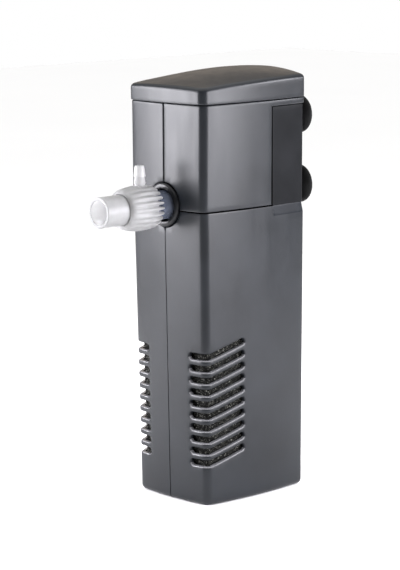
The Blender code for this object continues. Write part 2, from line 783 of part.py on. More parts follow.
def pump_screws(parent):
    x, y = SCREW_XY
    head_low = VOLUTE_TOP_Z - 0.0024 - SEAM_GAP - 0.0015
    head_high = head_low + 0.0015
    profile = [
        (0.0, POT_FLOOR_Z + 0.0050),
        (0.0011, POT_FLOOR_Z + 0.0044),
        (0.0011, head_high),
        (0.0020, head_high),
        (0.0020, head_low + 0.0004),
        (0.0016, head_low),
        (0.0, head_low),
    ]
    for side, hand in ((1, "right"), (-1, "left")):
        matrix = Matrix.Translation((side * x, y, 0.0))
        screw = turned(f"pump_screw_{hand}", profile, PARTS, matrix, 12)
        finish(screw, STEEL, parent)


def rotor(parent):
    magnet = tube("rotor_magnet", BORE_RADIUS, 0.0097, 0.1605, 0.1838, PARTS)
    finish(magnet, FERRITE, parent)
    impeller = tube("impeller", BORE_RADIUS, 0.0045, 0.1442, 0.1602, PARTS)
    unite(impeller, tube("impeller_disc", 0.0030, IMPELLER_RADIUS, 0.1539, 0.1552, steps=32))
    for i in range(BLADE_COUNT):
        turn = Matrix.Rotation(math.tau * i / BLADE_COUNT, 4, "Z")
        low = (0.0035, -0.0006, 0.1456)
        high = (IMPELLER_RADIUS, 0.0006, 0.1545)
        unite(impeller, box(f"blade_{i + 1}", low, high, matrix=turn))
    finish(impeller, NYLON, parent)


# ---------------------------------------------------------------- outlet and nozzle


def outlet_collar(parent):
    front, rear = -COLLAR_FRONT_Y, -COLLAR_REAR_Y
    profile = [
        (COLLAR_RADIUS - 0.0009, front),
        (COLLAR_RADIUS, front - 0.0009),
        (COLLAR_RADIUS, rear),
        (COLLAR_BORE, rear),
        (COLLAR_BORE, front - 0.0010),
        (COLLAR_BORE + 0.0008, front),
    ]
    collar = turned("outlet_collar", profile, PARTS, OUTLET_AXIS, ring=True)
    finish(collar, GLOSS_BLACK, parent)


def nipple_profile():
    top = NIPPLE_TOP_Z - OUTLET_Z
    return [
        (0.0, top),
        (0.0023, top),
        (0.0029, 0.0157),
        (0.0025, 0.0152),
        (0.0029, 0.0112),
        (0.0029, 0.0080),
        (0.0, 0.0080),
    ]


def venturi_body(parent):
    """The barrel that turns in the collar, with the air nipple that feeds its bore."""
    rear, front = -BARREL_REAR_Y, -BARREL_FRONT_Y
    groove_front, groove_rear = -SEAL_Y + SEAL_GROOVE_HALF, -SEAL_Y - SEAL_GROOVE_HALF
    outer = [
        (TUBE_RADIUS + 0.0006, front),
        (0.0093, front - 0.0008),
        (0.0103, front - 0.0028),
        (0.0110, front - 0.0065),
        (BARREL_RADIUS, front - 0.0120),
        (0.0108, rear + 0.0035),
        (0.0098, rear),
        (NECK_RADIUS + 0.0006, rear - 0.0010),
        (NECK_RADIUS, rear - 0.0020),
        (NECK_RADIUS, groove_front),
        (SEAL_GROOVE_RADIUS, groove_front),
        (SEAL_GROOVE_RADIUS, groove_rear),
        (NECK_RADIUS, groove_rear),
        (NECK_RADIUS, -NECK_REAR_Y),
    ]
    inner = [
        (NECK_BORE, -NECK_REAR_Y),
        (NECK_BORE, 0.0500),
        (TUBE_RADIUS + SEAM_GAP, 0.0556),
        (TUBE_RADIUS + SEAM_GAP, front),
    ]
    body = turned("venturi_body", outer + inner, PARTS, OUTLET_AXIS, ring=True)
    upright = Matrix.Translation((0.0, NIPPLE_Y, OUTLET_Z))
    unite(body, turned("nipple", nipple_profile(), matrix=upright, steps=12))
    cut(body, cylinders("nipple_bore", [(0, 0)], NIPPLE_BORE, 0.002, 0.025, None, upright, 12))
    finish(body, CLEAR_PLASTIC, parent)


def outlet_tube(parent):
    rear, front = -TUBE_REAR_Y, -TUBE_FRONT_Y
    spout = tube("outlet_tube", TUBE_BORE, TUBE_RADIUS, rear, front, PARTS, OUTLET_AXIS, 32)
    finish(spout, CLEAR_PLASTIC, parent)


def build():
    head_axis = axis_empty("head_lift_axis", (0.0, 0.0, HEAD_SEAM_Z))
    rotor_axis = axis_empty("rotor_axis", (0.0, 0.0, CHAMBER_ROOF_Z), head_axis)
    nozzle_axis = axis_empty("nozzle_axis", (0.0, COLLAR_FRONT_Y, OUTLET_Z), head_axis)
    canister_shell()
    filter_sponge()
    intake_screen()
    suction_cups()
    head_shells(head_axis)
    top_cap(head_axis)
    cable_gland(head_axis)
    volute_casing(head_axis)
    volute_cover(head_axis)
    motor_pot(head_axis)
    stator_core(head_axis)
    coils(head_axis)
    bearings(head_axis)
    seals(head_axis)
    pump_screws(head_axis)
    outlet_collar(head_axis)
    rotor(rotor_axis)
    venturi_body(nozzle_axis)
    outlet_tube(nozzle_axis)


build()
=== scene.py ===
"""The looks of an internal aquarium filter: shells, nozzle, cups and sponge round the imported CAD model.

Metres, +Z up, in the frame of the CAD model. -Y is the front, where the nozzle is, and +Y is the side
of the glass. The outline's numbers repeat the ones that the CAD model was made from.
"""

import math

import bmesh
import bpy
import numpy as np
from mathutils import Matrix, Vector, noise
from mathutils.geometry import delaunay_2d_cdt


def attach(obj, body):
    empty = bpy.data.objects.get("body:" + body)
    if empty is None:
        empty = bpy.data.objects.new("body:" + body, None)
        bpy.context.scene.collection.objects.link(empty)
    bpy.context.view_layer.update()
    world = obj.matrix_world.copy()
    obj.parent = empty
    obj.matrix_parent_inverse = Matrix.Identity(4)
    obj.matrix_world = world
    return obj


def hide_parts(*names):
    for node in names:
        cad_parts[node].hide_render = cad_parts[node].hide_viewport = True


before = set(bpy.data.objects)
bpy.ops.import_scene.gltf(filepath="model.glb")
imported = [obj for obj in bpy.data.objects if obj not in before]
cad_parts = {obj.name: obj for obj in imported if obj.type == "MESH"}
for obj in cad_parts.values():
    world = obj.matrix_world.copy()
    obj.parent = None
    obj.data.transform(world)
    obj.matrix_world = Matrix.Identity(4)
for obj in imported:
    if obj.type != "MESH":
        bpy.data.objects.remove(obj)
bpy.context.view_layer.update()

# Body outline, seen from above, at the height of the cap seam.
HALF_WIDTH = 0.02745
FRONT_Y = -0.0349
REAR_Y = 0.0348
SIDE_BOW = 0.00235
FRONT_BOW = 0.00178
FRONT_RADIUS = 0.0035
REAR_RADIUS = 0.002
LEAST_RADIUS = 0.0004
DRAFT = 0.0085
SEAM_GAP = 0.0003

# Heights.
CAP_SEAM_Z = 0.2000
HEAD_SEAM_Z = 0.1473
BASE_FILLET = 0.0027
FLOOR_TOP_Z = 0.0022
SHOULDER_Z = 0.1419
CHEEK_LOW_Z = 0.1468
CHEEK_TOP_Z = 0.1965
FLANGE_Z = 0.1968
FLANGE_MIDDLE_Z = 0.1983
HEAD_BACK_TOP_Z = 0.1988

# Canister.
CANISTER_WALL = 0.0020
CHEEK_STEP_Y = 0.0106
CHEEK_INSET = 0.0010
CHEEK_INNER_X = 0.0246
CHEEK_CORNER_X = 0.0190
SPINE_INNER_Y = 0.0323
SPINE_GROW = 0.0002
STEP_RUN = 0.0003
GROOVE_DEPTH = 0.00060
GROOVE_HALF = 0.00022
GROOVE_EDGE = 0.00004
WALL_FILLET = 0.00035
HEAD_FILLET = 0.0006
WEB_OVERLAP = 0.0004
PLATE_FILLET = 0.0002
LEAST_APART = 0.0005
CLOSE_APART = 0.00002
FILLET_STEPS = 3
ROW_CLEARANCE = 0.0008

# Intake slots, ten round each front corner.
SLOT_COUNT = 10
SLOT_PITCH = 0.00598
SLOT_FIRST_Z = 0.0216
SLOT_RADIUS = 0.00172
SLOT_INNER_X = 0.0150
SLOT_BEND_Y = -0.0310
SLOT_END_Y = -0.0095
SLOT_RISE = math.radians(15.5)
SLOT_END_STEPS = 10
SLOT_FILLET = 0.00080
SLOT_BAND_MARGIN = 0.003
SLOT_BAR_MARGIN = 0.004

# Pump head.
HEAD_WALL = 0.0018
HEAD_STEP_Y = 0.0097
STEP_FOOT = 0.0002
HEAD_REAR_X = 0.0243
HEAD_REAR_Y = 0.0303
HEAD_FRONT_LEAN = 0.00055
HEAD_TOP_FRONT_Y = -0.0344
HALF_GAP = 0.00015
VOLUTE_HOLE = 0.0183
THROAT_HALF_WIDTH = 0.0075
THROAT_FRONT_Y = -0.0245
GLAND_HOLE = 0.0039

# Cap: the height of its upper edge and of its crown, along the depth.
CAP_EDGE = (0.21017, 0.00141, -0.00106)
CAP_CROWN = (0.00430, 0.00125, -0.00184)
CAP_OVERHANG = 0.00015
CAP_WALL = 0.0018
CAP_EDGE_RADIUS = 0.0019
CAP_RIM_RADIUS = 0.0003

# Outlet, turned about an axis along Y.
OUTLET_Z = 0.1496
COLLAR_RADIUS = 0.0110
COLLAR_BORE = 0.0079
COLLAR_FRONT = 0.0380
COLLAR_REAR = 0.0250
NECK_RADIUS = 0.0072
NECK_BORE = 0.0046
NECK_REAR = 0.0290
SEAL_AT = 0.0340
SEAL_GROOVE_RADIUS = 0.00585
SEAL_GROOVE_HALF = 0.00105
RIB_COUNT = 22
RIB_SHARPNESS = 0.8
RIB_CREST = (
    (0.0429, 0.0077), (0.0436, 0.0078), (0.0439, 0.0086), (0.0442, 0.0093),
    (0.0450, 0.0101), (0.0465, 0.0107), (0.0490, 0.0110), (0.0531, 0.0112),
    (0.0570, 0.0111), (0.0605, 0.0107), (0.0628, 0.0102), (0.0640, 0.0097),
    (0.0648, 0.0090), (0.0651, 0.0082),
)
RIB_VALLEY = (
    (0.0429, 0.0075), (0.0462, 0.0078), (0.0472, 0.0085), (0.0484, 0.0094),
    (0.0505, 0.0101), (0.0540, 0.0105), (0.0590, 0.0105), (0.0620, 0.0101),
    (0.0638, 0.0096), (0.0648, 0.0090), (0.0651, 0.0082),
)
NIPPLE_Y = -0.0522
NIPPLE_HEIGHT = 0.0208
NIPPLE_BORE = 0.0010
TUBE_RADIUS = 0.0076
TUBE_BORE = 0.0059
TUBE_REAR = 0.0560
TUBE_FRONT = 0.0786

# Rear fittings.
CUP_X = 0.0152
CUP_ZS = (0.1546, 0.1903)
CUP_LIP_Y = 0.0423
CUP_RADIUS = 0.0098
CUP_HOLE = 0.0030
SPINE_REAR_Y = 0.0350
GLAND_Z = 0.1923
GLAND_RADIUS = 0.0036
GLAND_NOTCH = 0.0043

# Sponge.
SPONGE_GAP = 0.0006
SPONGE_TOP_Z = 0.1265
SPONGE_BORE = 0.0060
SPONGE_CELL = 0.0011
SPONGE_ROUGH = 0.00045

# The body's black, as the stops of a colour ramp.
SATIN_BLACK = ((0.30, (0.0048, 0.0060, 0.0080)), (0.72, (0.0094, 0.0114, 0.0146)))

# The room's light by the height of the direction that it comes from.
ROOM_LIGHT = (
    (0.0, (0.034, 0.030, 0.026)),
    (0.50, (0.030, 0.026, 0.022)),
    (0.78, 0.9),
    (1.0, 1.0),
)
CEILING_LIGHT = 2.0
FLOOR_DROP = 0.0001
SOFTBOX_COLOUR = (0.95, 0.94, 1.0)
SOFTBOX_WARM = (1.0, 0.86, 0.72)
SOFTBOX_AIM_Z = 0.10

# Camera: a long lens on the front right corner, rolled by a hair. Angles in degrees, lens in mm.
CAMERA_AZIMUTH = 47.825
CAMERA_ELEVATION = 9.594
CAMERA_ROLL = -0.678
CAMERA_AIM = (-0.006578, -0.007261, 0.105013)
CAMERA_DISTANCE = 1.1508
CAMERA_LENS = 143.06

OUTLET_AXIS = Matrix.Translation((0.0, 0.0, OUTLET_Z)) @ Matrix.Rotation(math.radians(90), 4, "X")


# ---- small helpers


def span(start, end, steps):
    return [start + (end - start) * i / steps for i in range(steps + 1)]


def arc(centre, radius, start, end, steps):
    """Points on an arc, with its angles in degrees."""
    angles = [math.radians(a) for a in span(start, end, steps)]
    return [(centre[0] + radius * math.cos(a), centre[1] + radius * math.sin(a)) for a in angles]


def rounding(radius, steps):
    """The inset and the drop of each step round an edge, from the wall to the face."""
    turns = span(0.0, math.pi / 2, steps)
    return [(radius * (1.0 - math.cos(turn)), radius * (1.0 - math.sin(turn))) for turn in turns]


def between(value, low, high):
    """0 at low, 1 at high, and smooth in between."""
    t = min(max((value - low) / (high - low), 0.0), 1.0)
    return t * t * (3.0 - 2.0 * t)


def finished(name, bm, merge=4e-6, sharp=40.0):
    """An object of a bmesh, with doubled points merged, loose ones gone and faces turned outwards."""
    bmesh.ops.remove_doubles(bm, verts=bm.verts, dist=merge)
    bmesh.ops.dissolve_degenerate(bm, edges=bm.edges, dist=1e-7)
    loose = [vert for vert in bm.verts if not vert.link_faces]
    bmesh.ops.delete(bm, geom=loose, context="VERTS")
    bmesh.ops.recalc_face_normals(bm, faces=bm.faces)
    mesh = bpy.data.meshes.new(name)
    bm.to_mesh(mesh)
    bm.free()
    mesh.shade_smooth()
    mesh.set_sharp_from_angle(angle=math.radians(sharp))
    obj = bpy.data.objects.new(name, mesh)
    bpy.context.scene.collection.objects.link(obj)
    return obj


def add_strip(bm, first, second, skip):
    """Faces between two rows of as many points, but for the steps in skip."""
    rows = [[bm.verts.new(point) for point in row] for row in (first, second)]
    for i in range(len(first) - 1):
        if i not in skip:
            bm.faces.new((rows[0][i], rows[0][i + 1], rows[1][i + 1], rows[1][i]))


def add_rows(bm, rows, skip=()):
    for first, second in zip(rows, rows[1:]):
        add_strip(bm, first, second, skip)


def add_fan(bm, row, centre):
    middle = bm.verts.new(centre)
    verts = [bm.verts.new(point) for point in row]
    for first, second in zip(verts, verts[1:]):
        bm.faces.new((first, second, middle))


def add_dome(bm, row, height, scales):
    """Fills a half outline in towards its middle, at height(x, y)."""
    rows = [row]
    for scale in scales:
        scaled = [(x * scale, y * scale) for x, y, _ in row]
        rows.append([(x, y, height(x, y)) for x, y in scaled])
    add_rows(bm, rows)
    add_fan(bm, rows[-1], (0.0, 0.0, height(0.0, 0.0)))


def mirror_in_x(bm):
    """Adds the left half."""
    made = bmesh.ops.duplicate(bm, geom=bm.verts[:] + bm.edges[:] + bm.faces[:])["geom"]
    copied = [item for item in made if isinstance(item, bmesh.types.BMVert)]
    faces = [item for item in made if isinstance(item, bmesh.types.BMFace)]
    bmesh.ops.scale(bm, vec=(-1.0, 1.0, 1.0), verts=copied)
    bmesh.ops.reverse_faces(bm, faces=faces)


# ---- the body's outline


class Track:
    """A walk along the right half of the outline, from the front's middle to the rear's middle.

    A place on the wall is (s, z): s is the way walked at the reference height, and z the height.
    """

    def __init__(self, front, reference_z):
        self.front = front
        half_width, low, high = self.frame(reference_z, 0.0)
        turns = FRONT_RADIUS * math.pi / 2, REAR_RADIUS * math.pi / 2
        side = high - low - FRONT_RADIUS - REAR_RADIUS
        lengths = [half_width - FRONT_RADIUS, turns[0], side, turns[1], half_width - REAR_RADIUS]
        self.knots = [sum(lengths[:i]) for i in range(len(lengths) + 1)]

    def frame(self, z, inset):
        inset_all = inset + DRAFT * (CAP_SEAM_Z - z)
        return HALF_WIDTH - inset_all, self.front(z) + inset, REAR_Y - inset_all

    def at(self, s, z, inset=0.0):
        """The point (x, y) of the bowed outline."""
        half_width, low, high = self.frame(z, inset)
        front_radius = max(FRONT_RADIUS - inset, LEAST_RADIUS)
        rear_radius = max(REAR_RADIUS - inset, LEAST_RADIUS)
        part = min(max(int(np.searchsorted(self.knots, s, side="right")) - 1, 0), 4)
        t = (s - self.knots[part]) / (self.knots[part + 1] - self.knots[part])
        front, rear = low + front_radius, high - rear_radius
        turn = math.radians(90 * t)
        x, y = (
            (t * (half_width - front_radius), low),
            (half_width - front_radius * (1.0 - math.sin(turn)), front - front_radius * math.cos(turn)),
            (half_width, front + t * (rear - front)),
            (half_width - rear_radius * (1.0 - math.cos(turn)), rear + rear_radius * math.sin(turn)),
            ((1.0 - t) * (half_width - rear_radius), high),
        )[part]
        along = (y - (low + high) / 2) / ((high - low) / 2)
        across = x / half_width
        bowed_x = x + SIDE_BOW * (1.0 - along**2) * across
        bowed_y = y - FRONT_BOW * (1.0 - across**2) * max(0.0, -along)
        return bowed_x, bowed_y

    def point(self, s, z, inset=0.0):
        return Vector((*self.at(s, z, inset), z))

    def s_at_x(self, x, z):
        """The place on the front wall that is at x."""
        return self.knots[1] * x / (self.frame(z, 0.0)[0] - FRONT_RADIUS)

    def s_at_y(self, y, z):
        """The place on the corner or side wall that is at y."""
        low, high = self.knots[1], self.knots[3]
        for _ in range(40):
            middle = (low + high) / 2
            if self.at(middle, z)[1] < y:
                low = middle
            else:
                high = middle
        return low

    def rear_s_at_x(self, x, z):
        """The place on the rear wall that is at x."""
        reach = self.frame(z, 0.0)[0] - REAR_RADIUS
        return self.knots[5] - (self.knots[5] - self.knots[4]) * x / reach

    def columns(self, low, high, steps=(9, 9, 22, 6, 8)):
        """Places along the walk between low and high, with both ends, closer in the corners."""
        marks = []
        for start, end, count in zip(self.knots, self.knots[1:], steps):
            marks += span(start, end, count)[:-1]
        marks.append(self.knots[5])
        apart = 0.0003
        inner = [s for s in marks if low + apart < s < high - apart]
        return [low] + inner + [high]


def canister_front(z):
    return FRONT_Y + DRAFT * (CAP_SEAM_Z - z)


def head_front(z):
    return HEAD_TOP_FRONT_Y - HEAD_FRONT_LEAN * (CAP_SEAM_Z - z) / (CAP_SEAM_Z - HEAD_SEAM_Z)


CANISTER = Track(canister_front, 0.050)
HEAD = Track(head_front, 0.175)
CAP = Track(lambda z: FRONT_Y, CAP_SEAM_Z)


# ---- walls with rounded openings


class Loop:
    """A closed way round a wall or an opening in it, in (s, z), made of sides.

    Each side is (rim, function). The function gives the side's points but its last, moved into the
    wall by a distance. A side that isn't a rim stays open, because another wall joins it there.
    """

    def __init__(self, *sides, fillet=WALL_FILLET):
        self.sides = sides
        self.fillet = fillet

    def points(self, grow):
        return [point for _, side in self.sides for point in side(grow)]

    def open_steps(self):
        flags = [rim for rim, side in self.sides for _ in side(0.0)]
        return {i for i, rim in enumerate(flags) if not rim}


def inside(points, loops):
    """True for each point that an odd number of the loops goes round."""
    x, y = points[:, 0:1], points[:, 1:2]
    odd = np.zeros(len(points), bool)
    for loop in loops:
        start = np.array(loop)
        end = np.roll(start, -1, axis=0)
        rise = end[:, 1] - start[:, 1]
        slope = (end[:, 0] - start[:, 0]) / np.where(rise == 0.0, 1.0, rise)
        passes = (start[:, 1] > y) != (end[:, 1] > y)
        crossed = passes & (x < start[:, 0] + (y - start[:, 1]) * slope)
        odd ^= crossed.sum(axis=1) % 2 == 1
    return odd


def clearance(points, loops):
    """The distance from each point to the nearest step of the loops."""
    nearest = np.full(len(points), np.inf)
    for loop in loops:
        start = np.array(loop)
        step = np.roll(start, -1, axis=0) - start
        length = np.maximum((step**2).sum(axis=1), 1e-18)
        offset = points[:, None, :] - start[None]
        t = np.clip((offset * step[None]).sum(axis=2) / length, 0.0, 1.0)
        gap = np.linalg.norm(offset - t[:, :, None] * step[None], axis=2)
        nearest = np.minimum(nearest, gap.min(axis=1))
    return nearest


def add_sheet(bm, place, loops, fill, close=()):
    """Triangles between the loops, the first of which goes round the others, on place(s, z).

    Points of fill that come near a loop are left out, and those of close are kept.
    """
    scale = 1000.0
    extra = np.array(list(fill) + list(close), float).reshape(-1, 2)
    gaps = np.array([LEAST_APART] * len(fill) + [CLOSE_APART] * len(close))
    extra = extra[inside(extra, loops) & (clearance(extra, loops) > gaps)]
    points = [point for loop in loops for point in loop]
    edges = []
    for loop in loops:
        first = len(edges)
        count = len(loop)
        edges += [(first + i, first + (i + 1) % count) for i in range(count)]
    points += [tuple(point) for point in extra]
    flat = [Vector((s * scale, z * scale)) for s, z in points]
    verts, _, faces, *_ = delaunay_2d_cdt(flat, edges, [], 0, 1e-5)
    middles = np.array([sum((verts[i] for i in face), Vector((0, 0))) / 3 for face in faces])
    kept = inside(middles / scale, loops)
    made = [bm.verts.new(place(v.x / scale, v.y / scale)) for v in verts]
    for face, keep in zip(faces, kept):
        if keep:
            bm.faces.new([made[i] for i in face])


def add_wall(bm, outer, inner, loops, fill, close=()):
    """A wall from outer(s, z) to inner(s, z). The outer edges of its rims are rounded."""

    def at(s, z, depth):
        point = outer(s, z)
        return point + (inner(s, z) - point).normalized() * depth

    add_sheet(bm, outer, [loop.points(loop.fillet) for loop in loops], fill, close)
    add_sheet(bm, inner, [loop.points(0.0) for loop in loops], fill)
    for loop in loops:
        rows = []
        for depth, grow in rounding(loop.fillet, FILLET_STEPS):
            rows.append([at(s, z, depth) for s, z in loop.points(grow)])
        rows.append([inner(s, z) for s, z in loop.points(0.0)])
        add_rows(bm, [row + row[:1] for row in rows], loop.open_steps())


def tidy_faces(bm):
    """Joins pairs of flat triangles."""
    faces = [face for face in bm.faces if len(face.verts) == 3]
    flat, square = math.radians(6), math.radians(40)
    bmesh.ops.join_triangles(bm, faces=faces, angle_face_threshold=flat, angle_shape_threshold=square)


def grid(columns, rows):
    return [(s, z) for s in columns for z in rows]


# ---- canister


def slot_height(i):
    return SLOT_FIRST_Z + i * SLOT_PITCH


def slot_line(z):
    """Where a slot's middle line starts, bends and ends, as places along the walk."""
    start = CANISTER.s_at_x(SLOT_INNER_X + SLOT_RADIUS, z)
    bend = CANISTER.s_at_y(SLOT_BEND_Y, z)
    end = bend + (SLOT_END_Y - SLOT_RADIUS - SLOT_BEND_Y)
    return start, bend, end


def slot_points(z, grow):
    """The outline of one slot: level round the corner, then rising, with round ends."""
    start, bend, end = slot_line(z)
    half = SLOT_RADIUS + grow
    rise = math.degrees(SLOT_RISE)
    shift = half * math.tan(SLOT_RISE / 2)
    level = CANISTER.columns(start, bend)[1:-1]
    level = [s for s in level if s < bend - ROW_CLEARANCE]
    slope = span(bend, end, 9)[1:-1]
    tip = (end, z + (end - bend) * math.tan(SLOT_RISE))
    sin, cos = math.sin(SLOT_RISE), math.cos(SLOT_RISE)

    def risen(s, side):
        middle_z = z + (s - bend) * math.tan(SLOT_RISE)
        return s - side * half * sin, middle_z + side * half * cos

    points = [(s, z - half) for s in level]
    points += [(bend + shift, z - half)]
    points += [risen(s, -1) for s in slope]
    points += arc(tip, half, rise - 90, rise + 90, SLOT_END_STEPS)
    points += [risen(s, 1) for s in reversed(slope)]
    points += [(bend - shift, z + half)]
    points += [(s, z + half) for s in reversed(level)]
    points += arc((start, z), half, 90, 270, SLOT_END_STEPS)
    return points


def slot_loop(i):
    z = slot_height(i)
    return Loop((True, lambda grow: slot_points(z, grow)), fillet=SLOT_FILLET)


def slot_fill(columns, rows):
    """A plain grid of points beside the slots, and points along the middle of the bars between them."""
    start, bend, end = slot_line(slot_height(0))
    low, high = slot_height(-0.8), slot_height(SLOT_COUNT - 0.2)
    grid_points, bar_points = [], []
    for s in columns:
        rise = max(0.0, min(s, end) - bend) * math.tan(SLOT_RISE)
        beside = not start - SLOT_BAND_MARGIN <= s <= end + SLOT_BAND_MARGIN
        grid_points += [(s, z) for z in rows if beside or not low + rise < z < high + rise]
        if start - SLOT_BAR_MARGIN < s < end + SLOT_BAR_MARGIN:
            bar_points += [(s, slot_height(i - 0.5) + rise) for i in range(SLOT_COUNT + 1)]
    return grid_points + bar_points


def notch_path(track, grow, start_x, edge_z, side):
    """The collar's round notch below (side -1) or above (1) a level edge, from the middle outwards."""
    radius = COLLAR_RADIUS + SEAM_GAP + grow
    start = side * math.degrees(math.acos(start_x / radius))
    end = math.degrees(math.asin((edge_z - OUTLET_Z) / radius))
    turned = arc((0.0, OUTLET_Z), radius, start, end, 20)
    return [(track.s_at_x(x, z), z) for x, z in turned]


def canister_notch(grow):
    return notch_path(CANISTER, grow, 0.0, HEAD_SEAM_Z - grow, -1)


def body_inset(s, z):
    """How far the outer face of the canister's body lies inside the outline."""
    shoulder = min(max((z - SHOULDER_Z) / (HEAD_SEAM_Z - SHOULDER_Z), 0.0), 1.0) * CHEEK_INSET
    step = CANISTER.s_at_y(CHEEK_STEP_Y, z)
    behind = between(s, step - STEP_RUN / 2, step + STEP_RUN / 2)
    groove = GROOVE_DEPTH * (1.0 - between(s, GROOVE_HALF, GROOVE_HALF + GROOVE_EDGE))
    return shoulder * behind + groove


def body_outer(s, z):
    return CANISTER.point(s, z, body_inset(s, z))


def body_inner(s, z):
    return CANISTER.point(s, z, CANISTER_WALL)


def fillet_rows(columns):
    """The rounded edge round the base, from the wall down to the flat of the base."""
    steps = rounding(BASE_FILLET, 8)
    return [[CANISTER.point(s, z, inset + body_inset(s, z)) for s in columns] for inset, z in steps]


def add_flat(bm, row):
    add_dome(bm, row, lambda x, y: row[0][2], (0.97, 0.80, 0.55, 0.28))


def canister_body(bm):
    end = CANISTER.knots[5]
    step = CANISTER.s_at_y(CHEEK_STEP_Y, HEAD_SEAM_Z)
    columns = CANISTER.columns(0.0, end)
    extra = [GROOVE_HALF, GROOVE_HALF + GROOVE_EDGE, step - STEP_RUN / 2, step + STEP_RUN / 2]
    columns = sorted([s for s in columns if abs(s - step) > ROW_CLEARANCE] + extra)
    heights = span(BASE_FILLET, SHOULDER_Z, 40)
    shoulder = span(SHOULDER_Z, HEAD_SEAM_Z, 5)[1:-1]
    notch_s = canister_notch(0.0)[-1][0]
    top_columns = [s for s in columns if s > notch_s + 0.0006]

    def low_edge(grow):
        return [(s, BASE_FILLET) for s in columns[:-1]]

    def rear_edge(grow):
        return [(end, z) for z in heights + shoulder]

    def top_edge(grow):
        path = canister_notch(grow)
        level = [(s, HEAD_SEAM_Z - grow) for s in top_columns]
        return (level[::-1] + path[::-1])[:-1]

    def front_edge(grow):
        path = canister_notch(grow)
        middle = [(0.0, z) for z in heights if z < path[0][1] - 0.0015]
        return [path[0]] + middle[:0:-1]

    sides = [(False, low_edge), (False, rear_edge), (True, top_edge), (False, front_edge)]
    loops = [Loop(*sides)] + [slot_loop(i) for i in range(SLOT_COUNT)]
    inner_columns = columns[1:-1]
    fill = slot_fill(inner_columns, heights[1:]) + grid(inner_columns, shoulder)
    groove = grid((GROOVE_HALF, GROOVE_HALF + GROOVE_EDGE), heights[1:])
    add_wall(bm, body_outer, body_inner, loops, fill, groove)
    rows = fillet_rows(columns)
    add_rows(bm, rows)
    add_flat(bm, rows[-1])
    heights = (BASE_FILLET, FLOOR_TOP_Z)
    floor_rows = [[body_inner(s, z) for s in columns] for z in heights]
    add_rows(bm, floor_rows)
    add_flat(bm, floor_rows[-1])


def cheek_outer(s, z):
    x, y = CANISTER.at(s, z, 0.0)
    back = SPINE_GROW * between(y, SPINE_INNER_Y - 0.002, SPINE_INNER_Y + 0.001)
    return Vector((x - CHEEK_INSET * between(x, CHEEK_CORNER_X, HEAD_REAR_X + 0.001), y + back, z))


def cheek_inner(s, z):
    point = cheek_outer(s, z)
    return Vector((min(point.x, CHEEK_INNER_X), min(point.y, SPINE_INNER_Y), z))


def canister_cheeks(bm):
    """The raised rear walls that the pump head slides between, with the holes for the cups."""
    start, end = CANISTER.s_at_y(CHEEK_STEP_Y, 0.17), CANISTER.knots[5]
    columns = CANISTER.columns(start, end)
    heights = span(CHEEK_LOW_Z, CHEEK_TOP_Z, 16)
    notch_end = CANISTER.rear_s_at_x(GLAND_NOTCH, GLAND_Z)
    top_columns = [s for s in columns if s < notch_end - ROW_CLEARANCE]

    def low_edge(grow):
        return [(s, CHEEK_LOW_Z) for s in [start + grow] + columns[1:-1]]

    def rear_edge(grow):
        stop = GLAND_Z - GLAND_NOTCH - grow
        return [(end, z) for z in heights if z < stop - 0.001]

    def top_edge(grow):
        radius = GLAND_NOTCH + grow
        turned = arc((0.0, GLAND_Z), radius, -90, 0, 8)
        path = [(CANISTER.rear_s_at_x(x, z), z) for x, z in turned]
        side = CANISTER.rear_s_at_x(radius, CHEEK_TOP_Z)
        level = [(s, CHEEK_TOP_Z - grow) for s in [side] + top_columns[:0:-1]]
        return path + level

    def front_edge(grow):
        inner = [(start + grow, z) for z in heights[1:-1]]
        return [(start + grow, CHEEK_TOP_Z - grow)] + inner[::-1]

    def cup_hole(z):
        def points(grow):
            turned = arc((CUP_X, z), CUP_HOLE + grow, 360, 0, 24)[:-1]
            return [(CANISTER.rear_s_at_x(x, height), height) for x, height in turned]

        return Loop((True, points))

    edge = Loop((True, low_edge), (False, rear_edge), (True, top_edge), (True, front_edge))
    loops = [edge] + [cup_hole(z) for z in CUP_ZS]
    add_wall(bm, cheek_outer, cheek_inner, loops, grid(columns[1:-1], heights[1:-1]))


def canister():
    bm = bmesh.new()
    canister_body(bm)
    canister_cheeks(bm)
    tidy_faces(bm)
    mirror_in_x(bm)
    return finished("canister_body", bm)


# ---- pump head shells

HEAD_LOW_Z = HEAD_SEAM_Z + SEAM_GAP
HEAD_TOP_Z = CAP_SEAM_Z - SEAM_GAP / 2
HEAD_STEP = HEAD.s_at_y(HEAD_STEP_Y, 0.175)


def head_inner(s, z):
    """Inside the front a wall's depth away, and behind the step the narrow rear of the head."""
    if s <= HEAD_STEP + 1e-6:
        return HEAD.point(s, z, HEAD_WALL)
    x, y = HEAD.at(s, z)
    return Vector((min(x, HEAD_REAR_X - HEAD_WALL), min(y, HEAD_REAR_Y - HEAD_WALL), z))


